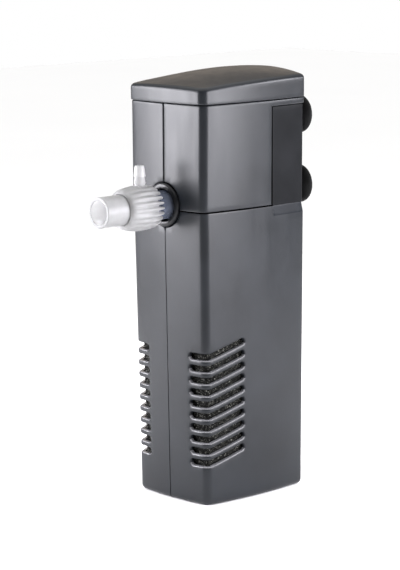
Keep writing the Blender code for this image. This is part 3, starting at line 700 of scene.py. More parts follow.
def head_front_wall(bm):
    """The front and side, with the flange that runs on to the rear above the cheeks."""
    end = HEAD.rear_s_at_x(HALF_GAP, FLANGE_Z)
    columns = HEAD.columns(HALF_GAP, end)
    front_columns = [s for s in columns if s < HEAD_STEP - ROW_CLEARANCE]
    rear_columns = [s for s in columns if s > HEAD_STEP + 0.0012]
    heights = span(HEAD_LOW_Z, FLANGE_Z, 18)

    def outline(grow):
        """The lower edge, the step, the flange, back along the top and down the split."""
        low, top, step = HEAD_LOW_Z + grow, HEAD_TOP_Z - grow, HEAD_STEP - grow
        after = HEAD_STEP + STEP_FOOT
        points = notch_path(HEAD, grow, HALF_GAP + grow, low, 1)
        points += [(s, low) for s in front_columns if s > points[-1][0] + ROW_CLEARANCE]
        points += [(step, low)] + [(step, z) for z in heights[1:-1]]
        points += [(step, FLANGE_Z + grow)]
        points += [(s, FLANGE_Z + grow) for s in [after] + rear_columns[:-1]]
        points += [(end - grow, FLANGE_Z + grow), (end - grow, top)]
        points += [(s, top) for s in rear_columns[-2::-1] + [after, HEAD_STEP] + front_columns[:0:-1]]
        points += [(HALF_GAP + grow, top)]
        stop = OUTLET_Z + COLLAR_RADIUS + SEAM_GAP + grow + ROW_CLEARANCE
        return points + [(HALF_GAP + grow, z) for z in reversed(heights) if z > stop]

    fill = grid(front_columns[1:], heights[1:]) + grid(columns[1:-1], [FLANGE_MIDDLE_Z])
    add_wall(bm, HEAD.point, head_inner, [Loop((True, outline), fillet=HEAD_FILLET)], fill)


def add_plate(bm, outline, place, thick):
    """A flat plate. outline(grow) gives its edge in the plate's own plane, moved in by grow."""

    def outer(u, v):
        return Vector(place(u, v))

    def inner(u, v):
        return outer(u, v) + Vector(thick)

    add_wall(bm, outer, inner, [Loop((True, outline), fillet=PLATE_FILLET)], ())


def rectangle(low, high):
    def outline(grow):
        left, bottom = low[0] + grow, low[1] + grow
        right, top = high[0] - grow, high[1] - grow
        return [(left, bottom), (right, bottom), (right, top), (left, top)]

    return outline


def rear_outline(grow):
    """The narrow rear wall, with half of the gland's hole in its split edge."""
    left, bottom = HALF_GAP + grow, HEAD_LOW_Z + grow
    right, top = HEAD_REAR_X - grow, HEAD_BACK_TOP_Z - grow
    radius = GLAND_HOLE + grow
    reach = math.degrees(math.acos(left / radius))
    hole = arc((0.0, GLAND_Z), radius, reach, -reach, 14)
    return [(left, bottom), (right, bottom), (right, top), (left, top)] + hole


def floor_outline(grow):
    """The head's floor, cut away for the collar, the throat and the volute."""
    inset = HEAD_WALL / 2 + grow
    columns = HEAD.columns(HEAD.s_at_x(COLLAR_RADIUS + 0.0004 + grow, HEAD_LOW_Z), HEAD_STEP)
    front = [HEAD.at(s, HEAD_LOW_Z, inset) for s in columns]
    side_x, rear_y = HEAD_REAR_X - inset, HEAD_REAR_Y - inset
    rear = [(side_x, HEAD_STEP_Y - inset), (side_x, rear_y), (HALF_GAP + grow, rear_y)]
    radius = VOLUTE_HOLE + grow
    throat_x, throat_y = THROAT_HALF_WIDTH + grow, THROAT_FRONT_Y - grow
    low = -math.degrees(math.acos(throat_x / radius))
    high = math.degrees(math.acos((HALF_GAP + grow) / radius))
    hole = arc((0.0, 0.0), radius, high, low, 24)
    slot = [(throat_x, throat_y), (front[0][0], throat_y)]
    front[-1] = (front[-1][0], HEAD_STEP_Y - inset)
    return front + rear + hole + slot


def head_rear(bm):
    low, high, wall = HEAD_LOW_Z, HEAD_BACK_TOP_Z, HEAD_WALL
    add_plate(bm, rear_outline, lambda x, z: (x, HEAD_REAR_Y, z), (0.0, -wall, 0.0))
    side = rectangle((HEAD_STEP_Y - wall, low), (HEAD_REAR_Y, high))
    add_plate(bm, side, lambda y, z: (HEAD_REAR_X, y, z), (-wall, 0.0, 0.0))
    web = rectangle((HEAD_REAR_X - wall + WEB_OVERLAP, low), (HEAD.at(HEAD_STEP, low)[0] - wall / 2, high))
    add_plate(bm, web, lambda x, z: (x, HEAD_STEP_Y, z), (0.0, -wall, 0.0))
    add_plate(bm, floor_outline, lambda x, y: (x, y, low), (0.0, 0.0, wall))


def head_half(side, hand):
    bm = bmesh.new()
    head_front_wall(bm)
    head_rear(bm)
    tidy_faces(bm)
    bmesh.ops.scale(bm, vec=(side, 1.0, 1.0), verts=bm.verts)
    return finished(f"head_half_{hand}", bm)


# ---- cap


def cap_surface(x, y):
    """Height of the cap's top: an edge that rises to the rear, and a crown across it."""
    along = y / REAR_Y
    across = min(abs(x) / (HALF_WIDTH + SIDE_BOW), 1.0)
    edge, crown = (a + b * along + c * along**2 for a, b, c in (CAP_EDGE, CAP_CROWN))
    return edge + crown * (1.0 - across**2)


def cap_ring(inset, drop=None, z=None):
    """A ring of the right half: level at z, or a drop below the cap's top."""
    columns = CAP.columns(0.0, CAP.knots[5], (14, 10, 34, 8, 12))
    points = [CAP.at(s, CAP_SEAM_Z, inset - CAP_OVERHANG) for s in columns]
    return [(x, y, z if drop is None else cap_surface(x, y) - drop) for x, y in points]


def mixed(low, high, t):
    return [tuple(a + (b - a) * t for a, b in zip(p, q)) for p, q in zip(low, high)]


def cap():
    bm = bmesh.new()
    low = CAP_SEAM_Z + SEAM_GAP / 2
    rows = [cap_ring(inset, z=low + rise) for rise, inset in rounding(CAP_RIM_RADIUS, 3)]
    edge = cap_ring(0.0, drop=CAP_EDGE_RADIUS)
    rows += [mixed(rows[-1], edge, t) for t in (0.2, 0.4, 0.6, 0.8)]
    rows += [cap_ring(inset, drop=drop) for inset, drop in rounding(CAP_EDGE_RADIUS, 7)]
    add_rows(bm, rows)
    add_dome(bm, rows[-1], cap_surface, (0.985, 0.96, 0.92, 0.86, 0.78, 0.68, 0.56, 0.43, 0.29, 0.15, 0.05))
    inner = [rows[0], cap_ring(CAP_WALL, z=low), cap_ring(CAP_WALL, drop=CAP_WALL)]
    add_rows(bm, inner)
    add_dome(bm, inner[-1], lambda x, y: cap_surface(x, y) - CAP_WALL, (0.8, 0.5, 0.2))
    mirror_in_x(bm)
    return finished("cap_cover", bm, sharp=50.0)


# ---- turned pieces


def add_turned(bm, profile, matrix, steps):
    """A profile of (radius, height) turned about local Z. A radius may be a function of both."""
    rings = []
    for radius, height in profile:
        ring = []
        for i in range(steps):
            turn = math.tau * i / steps
            r = radius(height, turn) if callable(radius) else radius
            ring.append(matrix @ Vector((r * math.cos(turn), r * math.sin(turn), height)))
        rings.append(ring + ring[:1])
    add_rows(bm, rings)


def turned(name, profile, matrix, steps=96, sharp=40.0):
    bm = bmesh.new()
    add_turned(bm, profile, matrix, steps)
    return finished(name, bm, sharp=sharp)


def along_y(x, z):
    """Puts local Z along +Y, through (x, z)."""
    return Matrix.Translation((x, 0.0, z)) @ Matrix.Rotation(math.radians(-90), 4, "X")


def collar():
    """The glossy ring in the head's front, with a full round lip and a step inside it."""
    front, radius, bore = COLLAR_FRONT, COLLAR_RADIUS, COLLAR_BORE
    lip, chamfer = 0.0013, 0.0009
    profile = [(radius - 0.0002, COLLAR_REAR), (radius - 0.0002, 0.0346), (radius, 0.0350)]
    profile += arc((radius - lip, front - lip), lip, 0, 90, 8)
    profile += arc((bore + chamfer, front - chamfer), chamfer, 90, 180, 6)
    profile += [(bore, COLLAR_REAR), profile[0]]
    return turned("collar_ring", profile, OUTLET_AXIS, 128)


def rib_radius(height, turn):
    """The radius of the fluted barrel: rounded ribs that end in teeth towards the collar."""
    wave = 0.5 + 0.5 * math.cos(RIB_COUNT * turn)
    crest, valley = (float(np.interp(height, *zip(*profile))) for profile in (RIB_CREST, RIB_VALLEY))
    valley = min(valley, crest)
    return valley + (crest - valley) * wave**RIB_SHARPNESS


def venturi():
    """The clear barrel: the neck in the collar, the fluted grip and the air nipple on top."""
    bm = bmesh.new()
    neck, groove, socket = NECK_RADIUS, SEAL_GROOVE_RADIUS, TUBE_RADIUS + 0.0002
    rear, front = SEAL_AT - SEAL_GROOVE_HALF, SEAL_AT + SEAL_GROOVE_HALF
    profile = [(NECK_BORE, NECK_REAR), (neck - 0.0002, NECK_REAR), (neck, NECK_REAR + 0.0002)]
    profile += [(neck, rear), (groove, rear), (groove, front), (neck, front)]
    profile += [(neck, 0.0405), (neck + 0.0003, 0.0422)]
    profile += [(rib_radius, y) for y in span(0.0429, 0.0445, 8) + span(0.0450, 0.0651, 34)]
    profile += [(socket, 0.0650), (socket, 0.0556), (NECK_BORE, 0.0500), profile[0]]
    add_turned(bm, profile, OUTLET_AXIS, 16 * RIB_COUNT)
    nipple = [(NIPPLE_BORE, 0.0085), (0.0030, 0.0085), (0.0028, 0.0112), (0.0026, 0.0116)]
    nipple += [(0.0029, 0.0121), (0.0025, 0.0151), (0.0026, 0.0153), (0.0029, 0.0156)]
    nipple += [(0.0024, 0.0202), (0.0022, 0.0207), (0.0019, NIPPLE_HEIGHT)]
    nipple += [(NIPPLE_BORE, NIPPLE_HEIGHT), nipple[0]]
    add_turned(bm, nipple, Matrix.Translation((0.0, NIPPLE_Y, OUTLET_Z)), 48)
    return finished("venturi_barrel", bm)


def spout():
    """The straight outlet tube, with soft edges at its mouth."""
    radius, bore, front = TUBE_RADIUS, TUBE_BORE, TUBE_FRONT
    edge = 0.0004
    profile = [(radius, TUBE_REAR)]
    profile += arc((radius - edge, front - edge), edge, 0, 90, 4)
    profile += arc((bore + edge, front - edge), edge, 90, 180, 4)
    profile += [(bore, TUBE_REAR), profile[0]]
    return turned("outlet_spout", profile, OUTLET_AXIS, 96)


def suction_cup(x, z, name):
    """A cup with a thin lip, a waist, a neck through the spine and a button inside."""
    back = SEAM_GAP
    inner = SPINE_INNER_Y - SPINE_REAR_Y - 2 * back
    lip = CUP_LIP_Y - SPINE_REAR_Y - back
    neck = CUP_HOLE - 0.0003
    profile = [(0.0, lip - 0.0034), (0.0030, lip - 0.0031), (0.0062, lip - 0.0022)]
    profile += [(0.0080, lip - 0.0011), (0.0092, lip - 0.0001), (0.0096, lip)]
    profile += [(CUP_RADIUS, lip - 0.0002), (0.0097, lip - 0.0007), (0.0092, lip - 0.0016)]
    profile += [(0.0080, lip - 0.0027), (0.0065, lip - 0.0038), (0.0052, lip - 0.0047)]
    profile += [(0.0047, lip - 0.0052), (0.0045, 0.0004), (0.0042, 0.0), (neck, 0.0)]
    profile += [(neck, inner), (0.0036, inner), (0.0037, inner - 0.0003)]
    profile += [(0.0034, inner - 0.0009), (0.0028, inner - 0.0011), (0.0, inner - 0.0011)]
    matrix = Matrix.Translation((0.0, SPINE_REAR_Y + back, 0.0)) @ along_y(x, z)
    return turned(name, profile, matrix, 64)


def gland():
    """The ribbed rubber sleeve in the head's rear wall."""
    rear = 0.0372
    inner = HEAD_REAR_Y - HEAD_WALL - SEAM_GAP
    radius = GLAND_RADIUS
    profile = [(0.0018, rear - 0.0003), (0.0021, rear), (radius - 0.0011, rear)]
    profile += [(radius - 0.0008, rear - 0.0002), (radius, rear - 0.0012)]
    for step in (0.0020, 0.0034, 0.0048):
        profile += [(radius, rear - step), (radius - 0.0006, rear - step - 0.0002)]
        profile += [(radius - 0.0006, rear - step - 0.0006), (radius, rear - step - 0.0008)]
    profile += [(radius, inner), (radius + 0.0012, inner), (radius + 0.0014, inner - 0.0002)]
    profile += [(radius + 0.0014, inner - 0.0014), (0.0018, inner - 0.0014), profile[0]]
    return turned("gland_sleeve", profile, along_y(0.0, GLAND_Z), 64)


# ---- sponge


def sponge_ring(z, inset):
    """One level ring round the sponge, both halves of it."""
    count = round(CANISTER.knots[5] / SPONGE_CELL)
    right = [CANISTER.at(s, z, inset) for s in span(0.0, CANISTER.knots[5], count)]
    return right + [(-x, y) for x, y in right[-2:0:-1]]


def roughen(bm, depth, size):
    """Sinks open cells into the surface: points near a cell's middle move in the most."""
    bm.normal_update()
    moves = []
    for vert in bm.verts:
        near = noise.voronoi(vert.co / size)[0][0]
        fine = noise.noise(vert.co / (size * 0.4))
        moves.append(vert.normal * -depth * (max(0.0, 1.0 - near) + 0.35 * abs(fine)))
    for vert, move in zip(bm.verts, moves):
        vert.co += move


def sponge():
    """The foam block: rounded edges, a bore through the middle and open cells all over."""
    bm = bmesh.new()
    inset = CANISTER_WALL + SPONGE_GAP
    low, high = FLOOR_TOP_Z + SPONGE_GAP, SPONGE_TOP_Z
    edge = 0.0012
    rings = [(low, edge), (low + 0.3 * edge, 0.3 * edge)]
    rings += [(z, 0.0) for z in span(low + edge, high - edge, round((high - low) / SPONGE_CELL))]
    rings += [(high - 0.3 * edge, 0.3 * edge), (high, edge)]
    rows = []
    for z, more in rings:
        ring = sponge_ring(z, inset + more)
        rows.append([(x, y, z) for x, y in ring + ring[:1]])
    add_rows(bm, rows)
    bore = arc((0.0, 0.0), SPONGE_BORE, 0, 360, 36)
    add_rows(bm, [[(x, y, z) for x, y in bore] for z in span(low, high, 60)])
    fill = grid(span(-0.026, 0.026, 40), span(-0.034, 0.034, 52))
    for z in (low, high):
        loops = [sponge_ring(z, inset + edge), bore[:-1]]
        add_sheet(bm, lambda x, y, level=z: Vector((x, y, level)), loops, fill)
    bmesh.ops.remove_doubles(bm, verts=bm.verts, dist=4e-6)
    bmesh.ops.recalc_face_normals(bm, faces=bm.faces)
    roughen(bm, SPONGE_ROUGH, 0.0022)
    return finished("sponge_block", bm, sharp=80.0)


# ---- materials


def fill_inputs(tree, node, values):
    """Links the sockets among the values to the node's inputs, and sets the others."""
    for key, value in values.items():
        if isinstance(value, bpy.types.NodeSocket):
            tree.links.new(value, node.inputs[key])
        else:
            node.inputs[key].default_value = value
    return node


def colour_ramp(tree, source, stops):
    """A ramp with stops of (place, colour or grey)."""
    node = fill_inputs(tree, tree.nodes.new("ShaderNodeValToRGB"), {"Fac": source})
    elements = node.color_ramp.elements
    for i, (at, value) in enumerate(stops):
        element = elements[i] if i < 2 else elements.new(at)
        element.position = at
        element.color = (*value, 1.0) if isinstance(value, tuple) else (value, value, value, 1.0)
    return node.outputs["Color"]


class Surface:
    """A procedural material on the Principled shader, with its nodes in object space."""

    def __init__(self, name, **values):
        self.material = bpy.data.materials.new(name)
        self.material.use_nodes = True
        self.tree = self.material.node_tree
        self.place = self.add("TexCoord").outputs["Object"]
        self.drive(**values)

    def drive(self, **values):
        """Sets or links the shader's inputs, with their spaces as underscores."""
        spaced = {key.replace("_", " "): value for key, value in values.items()}
        fill_inputs(self.tree, self.tree.nodes["Principled BSDF"], spaced)

    def add(self, kind, **values):
        return fill_inputs(self.tree, self.tree.nodes.new(f"ShaderNode{kind}"), values)

    def noise(self, scale, detail, place=None):
        place = self.place if place is None else place
        return self.add("TexNoise", Vector=place, Scale=scale, Detail=detail).outputs["Fac"]

    def cells(self, scale, feature):
        node = self.add("TexVoronoi", Vector=self.place, Scale=scale)
        node.feature = feature
        return node.outputs["Distance"]

    def bands(self, axis, scale, distortion):
        node = self.add("TexWave", Vector=self.place, Scale=scale, Distortion=distortion)
        node.bands_direction = axis
        return node.outputs["Fac"]

    def ramp(self, source, *stops):
        return colour_ramp(self.tree, source, stops)

    def mix(self, factor, first, second):
        """first and second mixed by factor, each a socket."""
        node = self.add("Mix")
        node.data_type = "RGBA"
        fill_inputs(self.tree, node, {"Factor": factor, 6: first, 7: second})
        return node.outputs[2]

    def bump(self, *layers):
        """Puts on layers of (height, strength, distance), the finest last, and gives the material."""
        before = {}
        for height, strength, distance in layers:
            node = self.add("Bump", Height=height, Strength=strength, Distance=distance, **before)
            before = {"Normal": node.outputs["Normal"]}
        self.drive(**before)
        return self.material


def grained(name, slow, fine, base, rough, bumps, **values):
    """A material whose colour follows a slow noise, and whose roughness follows a fine one.

    slow and fine are (scale, detail), base and rough are the ramps' stops, and bumps holds the
    (strength, distance) of the slow noise and of the fine one, or None.
    """
    made = Surface(name, **values)
    heights = made.noise(*slow), made.noise(*fine)
    made.drive(Base_Color=made.ramp(heights[0], *base), Roughness=made.ramp(heights[1], *rough))
    return made.bump(*[(height, *size) for height, size in zip(heights, bumps) if size])


def dull(level):
    """The shader's values for plastic or rubber whose shine is turned down to a level."""
    return {"IOR": 1.5, "Specular_IOR_Level": level}


def body_plastic():
    """Satin black moulded plastic: a fine grain, slow changes of gloss and faint flow marks."""
    made = Surface("satin_black_plastic", **dull(0.3))
    slow, grain, fine = made.noise(45, 4), made.noise(900, 3), made.noise(3600, 2)
    drawn = made.add("Mapping", Vector=made.place, Scale=(1.0, 1.0, 0.12)).outputs["Vector"]
    flow = made.noise(160, 3, drawn)
    made.drive(Base_Color=made.ramp(slow, *SATIN_BLACK))
    made.drive(Roughness=made.ramp(made.mix(grain, slow, flow), (0.32, 0.29), (0.70, 0.41)))
    return made.bump((flow, 0.10, 0.00006), (grain, 0.42, 0.00005), (fine, 0.26, 0.00002))


def cheek_plastic():
    """The same plastic with a duller, finer grain, as on the raised rear walls."""
    base = (0.30, (0.006, 0.0064, 0.0072)), (0.72, (0.010, 0.0105, 0.0118))
    rough, bumps = ((0.32, 0.34), (0.70, 0.46)), ((0.10, 0.00006), (0.16, 0.00003))
    return grained("dull_black_plastic", (60, 4), (2600, 2), base, rough, bumps, **dull(0.05))


def shoulder_plastic():
    """The body's plastic, a little duller, on the slope under each cheek."""
    rough, bumps = ((0.32, 0.31), (0.70, 0.43)), ((0.10, 0.00006), (0.42, 0.00005))
    return grained("shoulder_black_plastic", (45, 4), (900, 3), SATIN_BLACK, rough, bumps, **dull(0.11))


def painted_shade_plastic():
    """Near-black plastic that paints shade down in the narrow gaps and seams."""
    base, rough = ((0.30, 0.001), (0.72, 0.003)), ((0.32, 0.55), (0.70, 0.70))
    bumps = (0.10, 0.00006), None
    return grained("gap_painted_shade_plastic", (90, 4), (90, 4), base, rough, bumps, **dull(0.0))


def painted_highlight_edge_plastic():
    """The polished lower edges of the slots, with a light, mottled base colour that paints their highlight.
    """
    made = Surface("slot_edge_painted_highlight_plastic", IOR=1.5, Specular_IOR_Level=1.0, Coat_Weight=0.5)
    slow, highlight_mottle = made.noise(70, 4), made.noise(1400, 3)
    # Painted highlight: the base colour is far lighter than the body's black, mottled by a fine noise.
    made.drive(Base_Color=made.ramp(highlight_mottle, (0.30, (0.10, 0.10, 0.11)), (0.72, (0.19, 0.19, 0.20))))
    made.drive(Roughness=made.ramp(made.mix(highlight_mottle, slow, highlight_mottle), (0.32, 0.22), (0.70, 0.34)))
    return made.bump((slow, 0.10, 0.00006), (highlight_mottle, 0.10, 0.00002))


def gloss_plastic():
    base = (0.35, (0.006, 0.0065, 0.0075)), (0.70, (0.012, 0.0125, 0.014))
    rough, bumps = ((0.35, 0.16), (0.70, 0.26)), ((0.08, 0.00005), (0.05, 0.00001))
    return grained("gloss_black_plastic", (220, 3), (2600, 2), base, rough, bumps, **dull(0.20))


def milky_plastic(name, transmission, scatter, dark, light):
    """Milky clear plastic between two greys, which lets light through its thin walls."""
    made = Surface(name, IOR=1.42, Transmission_Weight=transmission, Subsurface_Weight=scatter)
    made.drive(Subsurface_Radius=(1.0, 1.0, 1.0), Subsurface_Scale=0.002)
    slow, fine = made.noise(260, 3), made.noise(2400, 2)
    made.drive(Base_Color=made.ramp(slow, (0.30, dark), (0.72, light)))
    made.drive(Roughness=made.ramp(made.mix(fine, slow, fine), (0.30, 0.32), (0.72, 0.46)))
    return made.bump((slow, 0.12, 0.00008), (fine, 0.06, 0.00001))


def neck_painted_shade_plastic():
    """The polished clear neck: it lets light through, and its dark blue base colour paints the shade of the
    dark bore seen through it. It also paints shade into the gaps between the ribs' ends.
    """
    base, rough = ((0.30, (0.14, 0.16, 0.22)), (0.72, (0.21, 0.24, 0.31))), ((0.35, 0.15), (0.70, 0.22))
    bumps = (0.10, 0.00006), None
    clear = {"IOR": 1.46, "Transmission_Weight": 0.5}
    return grained("polished_clear_painted_shade_plastic", (300, 3), (1500, 2), base, rough, bumps, **clear)


def soft_rubber():
    base = (0.32, (0.0026, 0.0026, 0.00273)), (0.74, (0.00494, 0.00494, 0.0052))
    rough, bumps = ((0.30, 0.42), (0.72, 0.60)), ((0.10, 0.00008), (0.14, 0.00002))
    return grained("soft_black_rubber", (120, 4), (3200, 3), base, rough, bumps, **dull(0.12))


def sponge_foam():
    """Black open-cell foam: painted shade darkens the pits between thin threads, and sparse bright specks
    are painted glints.
    """
    made = Surface("black_open_foam", IOR=1.45, Specular_IOR_Level=0.08)
    threads, cells = made.cells(900, "DISTANCE_TO_EDGE"), made.cells(520, "F1")
    glint_spots = made.noise(2100, 1)
    # Painted shade: the middles of the cells are darker than the threads.
    pits = made.ramp(threads, (0.0, (0.008, 0.008, 0.007)), (0.16, 0.0015))
    # Painted glints: sparse bright specks in the base colour.
    bright = made.ramp(glint_spots, (0.0, (0.01, 0.01, 0.009)), (1.0, (0.34, 0.34, 0.30)))
    glint_mask = made.ramp(glint_spots, (0.63, 0.0), (0.70, 1.0))
    made.drive(Base_Color=made.mix(glint_mask, pits, bright))
    made.drive(Roughness=made.ramp(cells, (0.1, 0.45), (0.6, 0.85)))
    return made.bump((cells, 0.9, 0.0005), (threads, 0.8, 0.0003))


def inner_plastic():
    base = (0.30, (0.040, 0.042, 0.046)), (0.72, (0.062, 0.064, 0.068))
    rough, bumps = ((0.30, 0.36), (0.72, 0.52)), ((0.12, 0.0001), (0.12, 0.00003))
    return grained("inner_grey_plastic", (80, 4), (2200, 2), base, rough, bumps, IOR=1.5)


def turned_steel():
    made = Surface("turned_steel", IOR=2.5, Metallic=1.0)
    rings, fine = made.bands("Z", 900, 1.5), made.noise(2600, 3)
    made.drive(Base_Color=made.ramp(fine, (0.30, (0.50, 0.51, 0.53)), (0.72, (0.66, 0.67, 0.69))))
    made.drive(Roughness=made.ramp(rings, (0.0, 0.20), (1.0, 0.38)))
    return made.bump((rings, 0.15, 0.00002))


def laminated_steel():
    """Stamped sheets, seen as fine lines along the edges of the stack."""
    made = Surface("laminated_steel", IOR=2.5, Metallic=1.0)
    sheets, stain = made.bands("Z", 320, 0.4), made.noise(300, 4)
    light = made.ramp(stain, (0.30, (0.36, 0.36, 0.37)), (0.72, 0.50))
    dark = made.ramp(stain, (0.30, 0.10), (0.72, (0.20, 0.17, 0.15)))
    made.drive(Base_Color=made.mix(made.ramp(sheets, (0.1, 0.0), (0.5, 1.0)), dark, light))
    made.drive(Roughness=made.ramp(stain, (0.30, 0.30), (0.72, 0.55)))
    return made.bump((sheets, 0.6, 0.0001))


def wound_copper():
    """Enamelled wire in even turns along the coil."""
    made = Surface("wound_copper", IOR=1.6, Metallic=1.0)
    turns, stain = made.bands("Y", 620, 0.6), made.noise(700, 3)
    made.drive(Base_Color=made.ramp(stain, (0.30, (0.45, 0.15, 0.06)), (0.72, (0.68, 0.28, 0.13))))
    made.drive(Roughness=made.ramp(turns, (0.0, 0.50), (0.7, 0.24)))
    return made.bump((turns, 0.9, 0.00018))


def pressed_ferrite():
    base = (0.30, (0.022, 0.022, 0.025)), (0.72, (0.048, 0.048, 0.052))
    rough, bumps = ((0.30, 0.40), (0.72, 0.70)), (None, (0.3, 0.00005))
    return grained("pressed_ferrite", (160, 4), (1900, 4), base, rough, bumps, IOR=2.2, Metallic=0.25)


def white_nylon():
    base = (0.30, (0.60, 0.60, 0.57)), (0.72, (0.74, 0.74, 0.71))
    rough, bumps = ((0.30, 0.34), (0.72, 0.52)), (None, (0.12, 0.00003))
    scatter = {"Subsurface_Weight": 0.15, "Subsurface_Scale": 0.002}
    return grained("white_nylon", (140, 3), (2400, 2), base, rough, bumps, IOR=1.53, **scatter)


def stage_white():
    made = Surface("pale_floor", Specular_IOR_Level=0.15)
    made.drive(Base_Color=made.ramp(made.noise(3, 2), (0.3, 0.895), (0.7, 0.905)))
    made.drive(Roughness=made.ramp(made.noise(8, 2), (0.3, 0.80), (0.7, 0.90)))
    return made.material


def cover(obj, material, *others):
    """Gives a piece its material. others are pairs of a material and a test of its faces."""
    obj.data.materials.clear()
    obj.data.materials.append(material)
    for i, (other, chosen) in enumerate(others, 1):
        obj.data.materials.append(other)
        for face in obj.data.polygons:
            if chosen(face.center, face.normal):
                face.material_index = i


# ---- the pieces on their bodies


def place_piece(piece, body, slot, node, material, *others):
    """Puts a piece on its body in place of a CAD node. The materials are as in cover."""
    cover(piece, material, *others)
    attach(piece, body)
    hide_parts(node)
    return piece


def on_cheek(point, normal):
    return point.y > CHEEK_STEP_Y - 0.0002 and point.z > HEAD_SEAM_Z - 0.0003


def on_shoulder(point, normal):
    """True on the slope that runs in to the cheek."""
    return point.y > CHEEK_STEP_Y and SHOULDER_Z < point.z < HEAD_SEAM_Z and abs(point.x) > HEAD_REAR_X


def painted_shade_cheek_gap(point, normal):
    """True on the front edge of a cheek, down in the gap beside the head, which gets painted shade."""
    return on_cheek(point, normal) and normal.y < -0.03 and point.y < CHEEK_STEP_Y + 0.0012


def painted_shade_head_gap(point, normal):
    """True on the edge of a head half, down in the gap beside the cheek, which gets painted shade."""
    return normal.y > 0.15 and abs(point.y - HEAD_STEP_Y) < 0.0009 and point.z < FLANGE_Z


def painted_shade_canister_seam(point, normal):
    """True on the canister's top edge, under the head, which gets painted shade for the seam."""
    in_front = point.y < CHEEK_STEP_Y - 0.0004
    return in_front and normal.z > 0.12 and point.z > HEAD_SEAM_Z - 0.0007


def painted_highlight_slot_ledge(point, normal):
    """True on the rounded lower edges of the slots, which get a painted highlight."""
    return normal.z > 0.25 and BASE_FILLET + 0.005 < point.z < SHOULDER_Z - 0.04


def off_axis(point):
    """How far a point is from the outlet's axis."""
    return math.hypot(point.x, point.z - OUTLET_Z)


def neck_and_painted_shade_rib_gaps(point, normal):
    """True on the polished neck and in the gaps between the ribs' ends, which get the neck's dark material
    as painted shade.
    """
    return point.y > -0.0432 or (point.y > -0.0478 and off_axis(point) < 0.0088)


def on_nipple(point, normal):
    return point.z > OUTLET_Z + 0.0102 and math.hypot(point.x, point.y - NIPPLE_Y) < 0.0036


# The tube's bore, which gets a much lighter copy of the frosted plastic as painted light.
def painted_light_tube_bore(point, normal):
    return off_axis(point) < TUBE_BORE + 0.0002


def on_tube_rim(point, normal):
    return normal.y < -0.3 and point.y < 0.0005 - TUBE_FRONT


def place_pieces():
    plastic, painted_gap_shade, rubber = body_plastic(), painted_shade_plastic(), soft_rubber()
    clear = milky_plastic("frosted_clear_plastic", 0.30, 0.7, 0.33, 0.38)
    # Painted light: the bore's copy of the frosted plastic is far lighter than the outside's, to light the
    # shaded inside of the tube.
    bore = milky_plastic("frosted_bore_painted_light_plastic", 0.20, 0.0, 0.90, 0.95)
    rim = milky_plastic("frosted_rim_plastic", 0.45, 0.0, 0.32, 0.38)
    nipple = milky_plastic("frosted_nipple_plastic", 0.28, 0.0, 0.52, 0.59)
    # The near-black gap material paints shade into the cheeks' gaps and the seam under the head, and the
    # slot-edge material paints highlights on the slot ledges.
    patches = [(shoulder_plastic(), on_shoulder), (cheek_plastic(), on_cheek), (painted_gap_shade, painted_shade_cheek_gap)]
    patches += [(painted_gap_shade, painted_shade_canister_seam), (painted_highlight_edge_plastic(), painted_highlight_slot_ledge)]
    place_piece(canister(), "canister", "body_plastic", "canister_shell", plastic, *patches)
    for side, hand in ((1, "right"), (-1, "left")):
        half, node = head_half(side, hand), f"head_shell_{hand}"
        # The near-black gap material paints shade into the head's gaps beside the cheeks.
        place_piece(half, "pump_head", "body_plastic", node, plastic, (painted_gap_shade, painted_shade_head_gap))
    place_piece(cap(), "pump_head", "body_plastic", "top_cap", plastic)
    place_piece(collar(), "pump_head", "gloss_black", "outlet_collar", gloss_plastic())
    place_piece(gland(), "pump_head", "soft_rubber", "cable_gland", rubber)
    patches = (neck_painted_shade_plastic(), neck_and_painted_shade_rib_gaps), (nipple, on_nipple)
    place_piece(venturi(), "nozzle", "clear_plastic", "venturi_body", clear, *patches)
    patches = (bore, painted_light_tube_bore), (rim, on_tube_rim)
    place_piece(spout(), "nozzle", "clear_plastic", "outlet_tube", clear, *patches)
    foam = place_piece(sponge(), "canister", "sponge_foam", "filter_sponge", sponge_foam())
    for z, level in zip(CUP_ZS, ("lower", "upper")):
        for x, hand in ((CUP_X, "right"), (-CUP_X, "left")):
            name = f"cup_{level}_{hand}"
            place_piece(suction_cup(x, z, name), "canister", "soft_rubber", f"suction_{name}", rubber)


def dress_inner_nodes():
    """Gives every CAD node that stays a material of its own kind."""
    finishes = {
        inner_plastic: ("intake_screen", "volute_casing", "volute_cover", "motor_pot"),
        turned_steel: ("shaft", "pump_screw_right", "pump_screw_left"),
        laminated_steel: ("stator_core",),
        wound_copper: ("coil_right", "coil_left"),
        pressed_ferrite: ("rotor_magnet",),
        white_nylon: ("bobbin_right", "bobbin_left", "impeller"),
        soft_rubber: ("upper_bush", "lower_bush", "volute_seal", "nozzle_seal"),
    }
    for finish, names in finishes.items():
        material = finish()
        for name in names:
            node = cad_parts[name]
            for i in range(len(node.material_slots)):
                node.material_slots[i].material = material


# ---- stage, light and camera


def floor():
    bm = bmesh.new()
    bmesh.ops.create_grid(bm, x_segments=8, y_segments=8, size=2.5)
    made = finished("floor", bm)
    made.location.z = -FLOOR_DROP
    cover(made, stage_white())


def direction(azimuth, elevation):
    """The unit vector from the object to something at this azimuth, from -Y towards +X."""
    a, e = math.radians(azimuth), math.radians(elevation)
    return Vector((math.sin(a) * math.cos(e), -math.cos(a) * math.cos(e), math.sin(e)))


def softbox(name, azimuth, elevation, distance, size, power, colour=SOFTBOX_COLOUR):
    light = bpy.data.lights.new(name, "AREA")
    light.shape = "RECTANGLE"
    light.color = colour
    light.size, light.size_y = size
    light.energy = power
    obj = bpy.data.objects.new(name, light)
    aim = Vector((0.0, 0.0, SOFTBOX_AIM_Z))
    obj.location = aim + direction(azimuth, elevation) * distance
    obj.rotation_euler = (aim - obj.location).to_track_quat("-Z", "Y").to_euler()
    obj.visible_camera = False
    bpy.context.scene.collection.objects.link(obj)


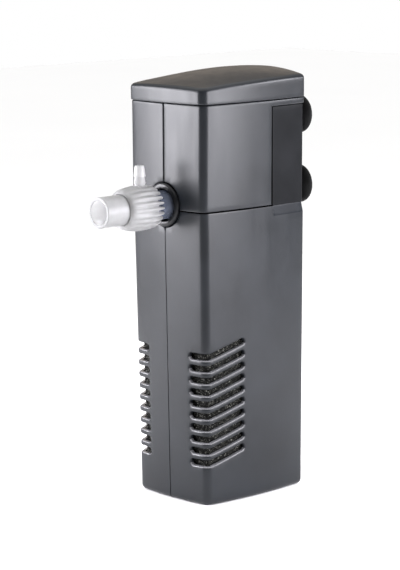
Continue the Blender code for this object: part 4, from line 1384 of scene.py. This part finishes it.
def studio():
    softbox("front_softbox", -36, 7, 0.50, (0.30, 0.17), 3.45)
    softbox("side_softbox", 107, 9, 0.50, (0.30, 0.18), 3.65)
    softbox("front_edge_softbox", -52, 21, 0.60, (0.30, 0.20), 3.3)
    softbox("side_edge_softbox", 137, 22, 0.60, (0.30, 0.20), 3.3)
    softbox("low_rear_softbox", 228, 23, 0.90, (0.80, 0.25), 0.52, SOFTBOX_WARM)


def surroundings():
    """White for the camera, and a dim room with a bright ceiling for the light."""
    world = bpy.data.worlds.new("studio")
    world.use_nodes = True
    bpy.context.scene.world = world
    tree, nodes = world.node_tree, world.node_tree.nodes
    place = nodes.new("ShaderNodeTexCoord").outputs["Generated"]
    split = fill_inputs(tree, nodes.new("ShaderNodeSeparateXYZ"), {"Vector": place})
    glow = colour_ramp(tree, split.outputs["Z"], ROOM_LIGHT)
    room = fill_inputs(tree, nodes["Background"], {"Color": glow, "Strength": CEILING_LIGHT})
    seen = fill_inputs(tree, nodes.new("ShaderNodeBackground"), {"Color": (1.0, 1.0, 1.0, 1.0)})
    to_camera = nodes.new("ShaderNodeLightPath").outputs["Is Camera Ray"]
    shaders = {"Fac": to_camera, 1: room.outputs["Background"], 2: seen.outputs["Background"]}
    choose = fill_inputs(tree, nodes.new("ShaderNodeMixShader"), shaders)
    fill_inputs(tree, nodes["World Output"], {"Surface": choose.outputs["Shader"]})


def camera():
    back = direction(CAMERA_AZIMUTH, CAMERA_ELEVATION)
    roll = math.radians(CAMERA_ROLL)
    level = Vector((0.0, 0.0, 1.0)).cross(back).normalized()
    upright = back.cross(level)
    right = level * math.cos(roll) + upright * math.sin(roll)
    up = upright * math.cos(roll) - level * math.sin(roll)
    lens = bpy.data.cameras.new("camera")
    lens.sensor_width = 36.0
    lens.lens = CAMERA_LENS
    obj = bpy.data.objects.new("camera", lens)
    turn = Matrix((right, up, back)).transposed().to_4x4()
    obj.matrix_world = Matrix.Translation(Vector(CAMERA_AIM) + back * CAMERA_DISTANCE) @ turn
    bpy.context.scene.collection.objects.link(obj)
    bpy.context.scene.camera = obj


bpy.context.scene.view_settings.view_transform = "Standard"
camera()
place_pieces()
dress_inner_nodes()
floor()
studio()
surroundings()
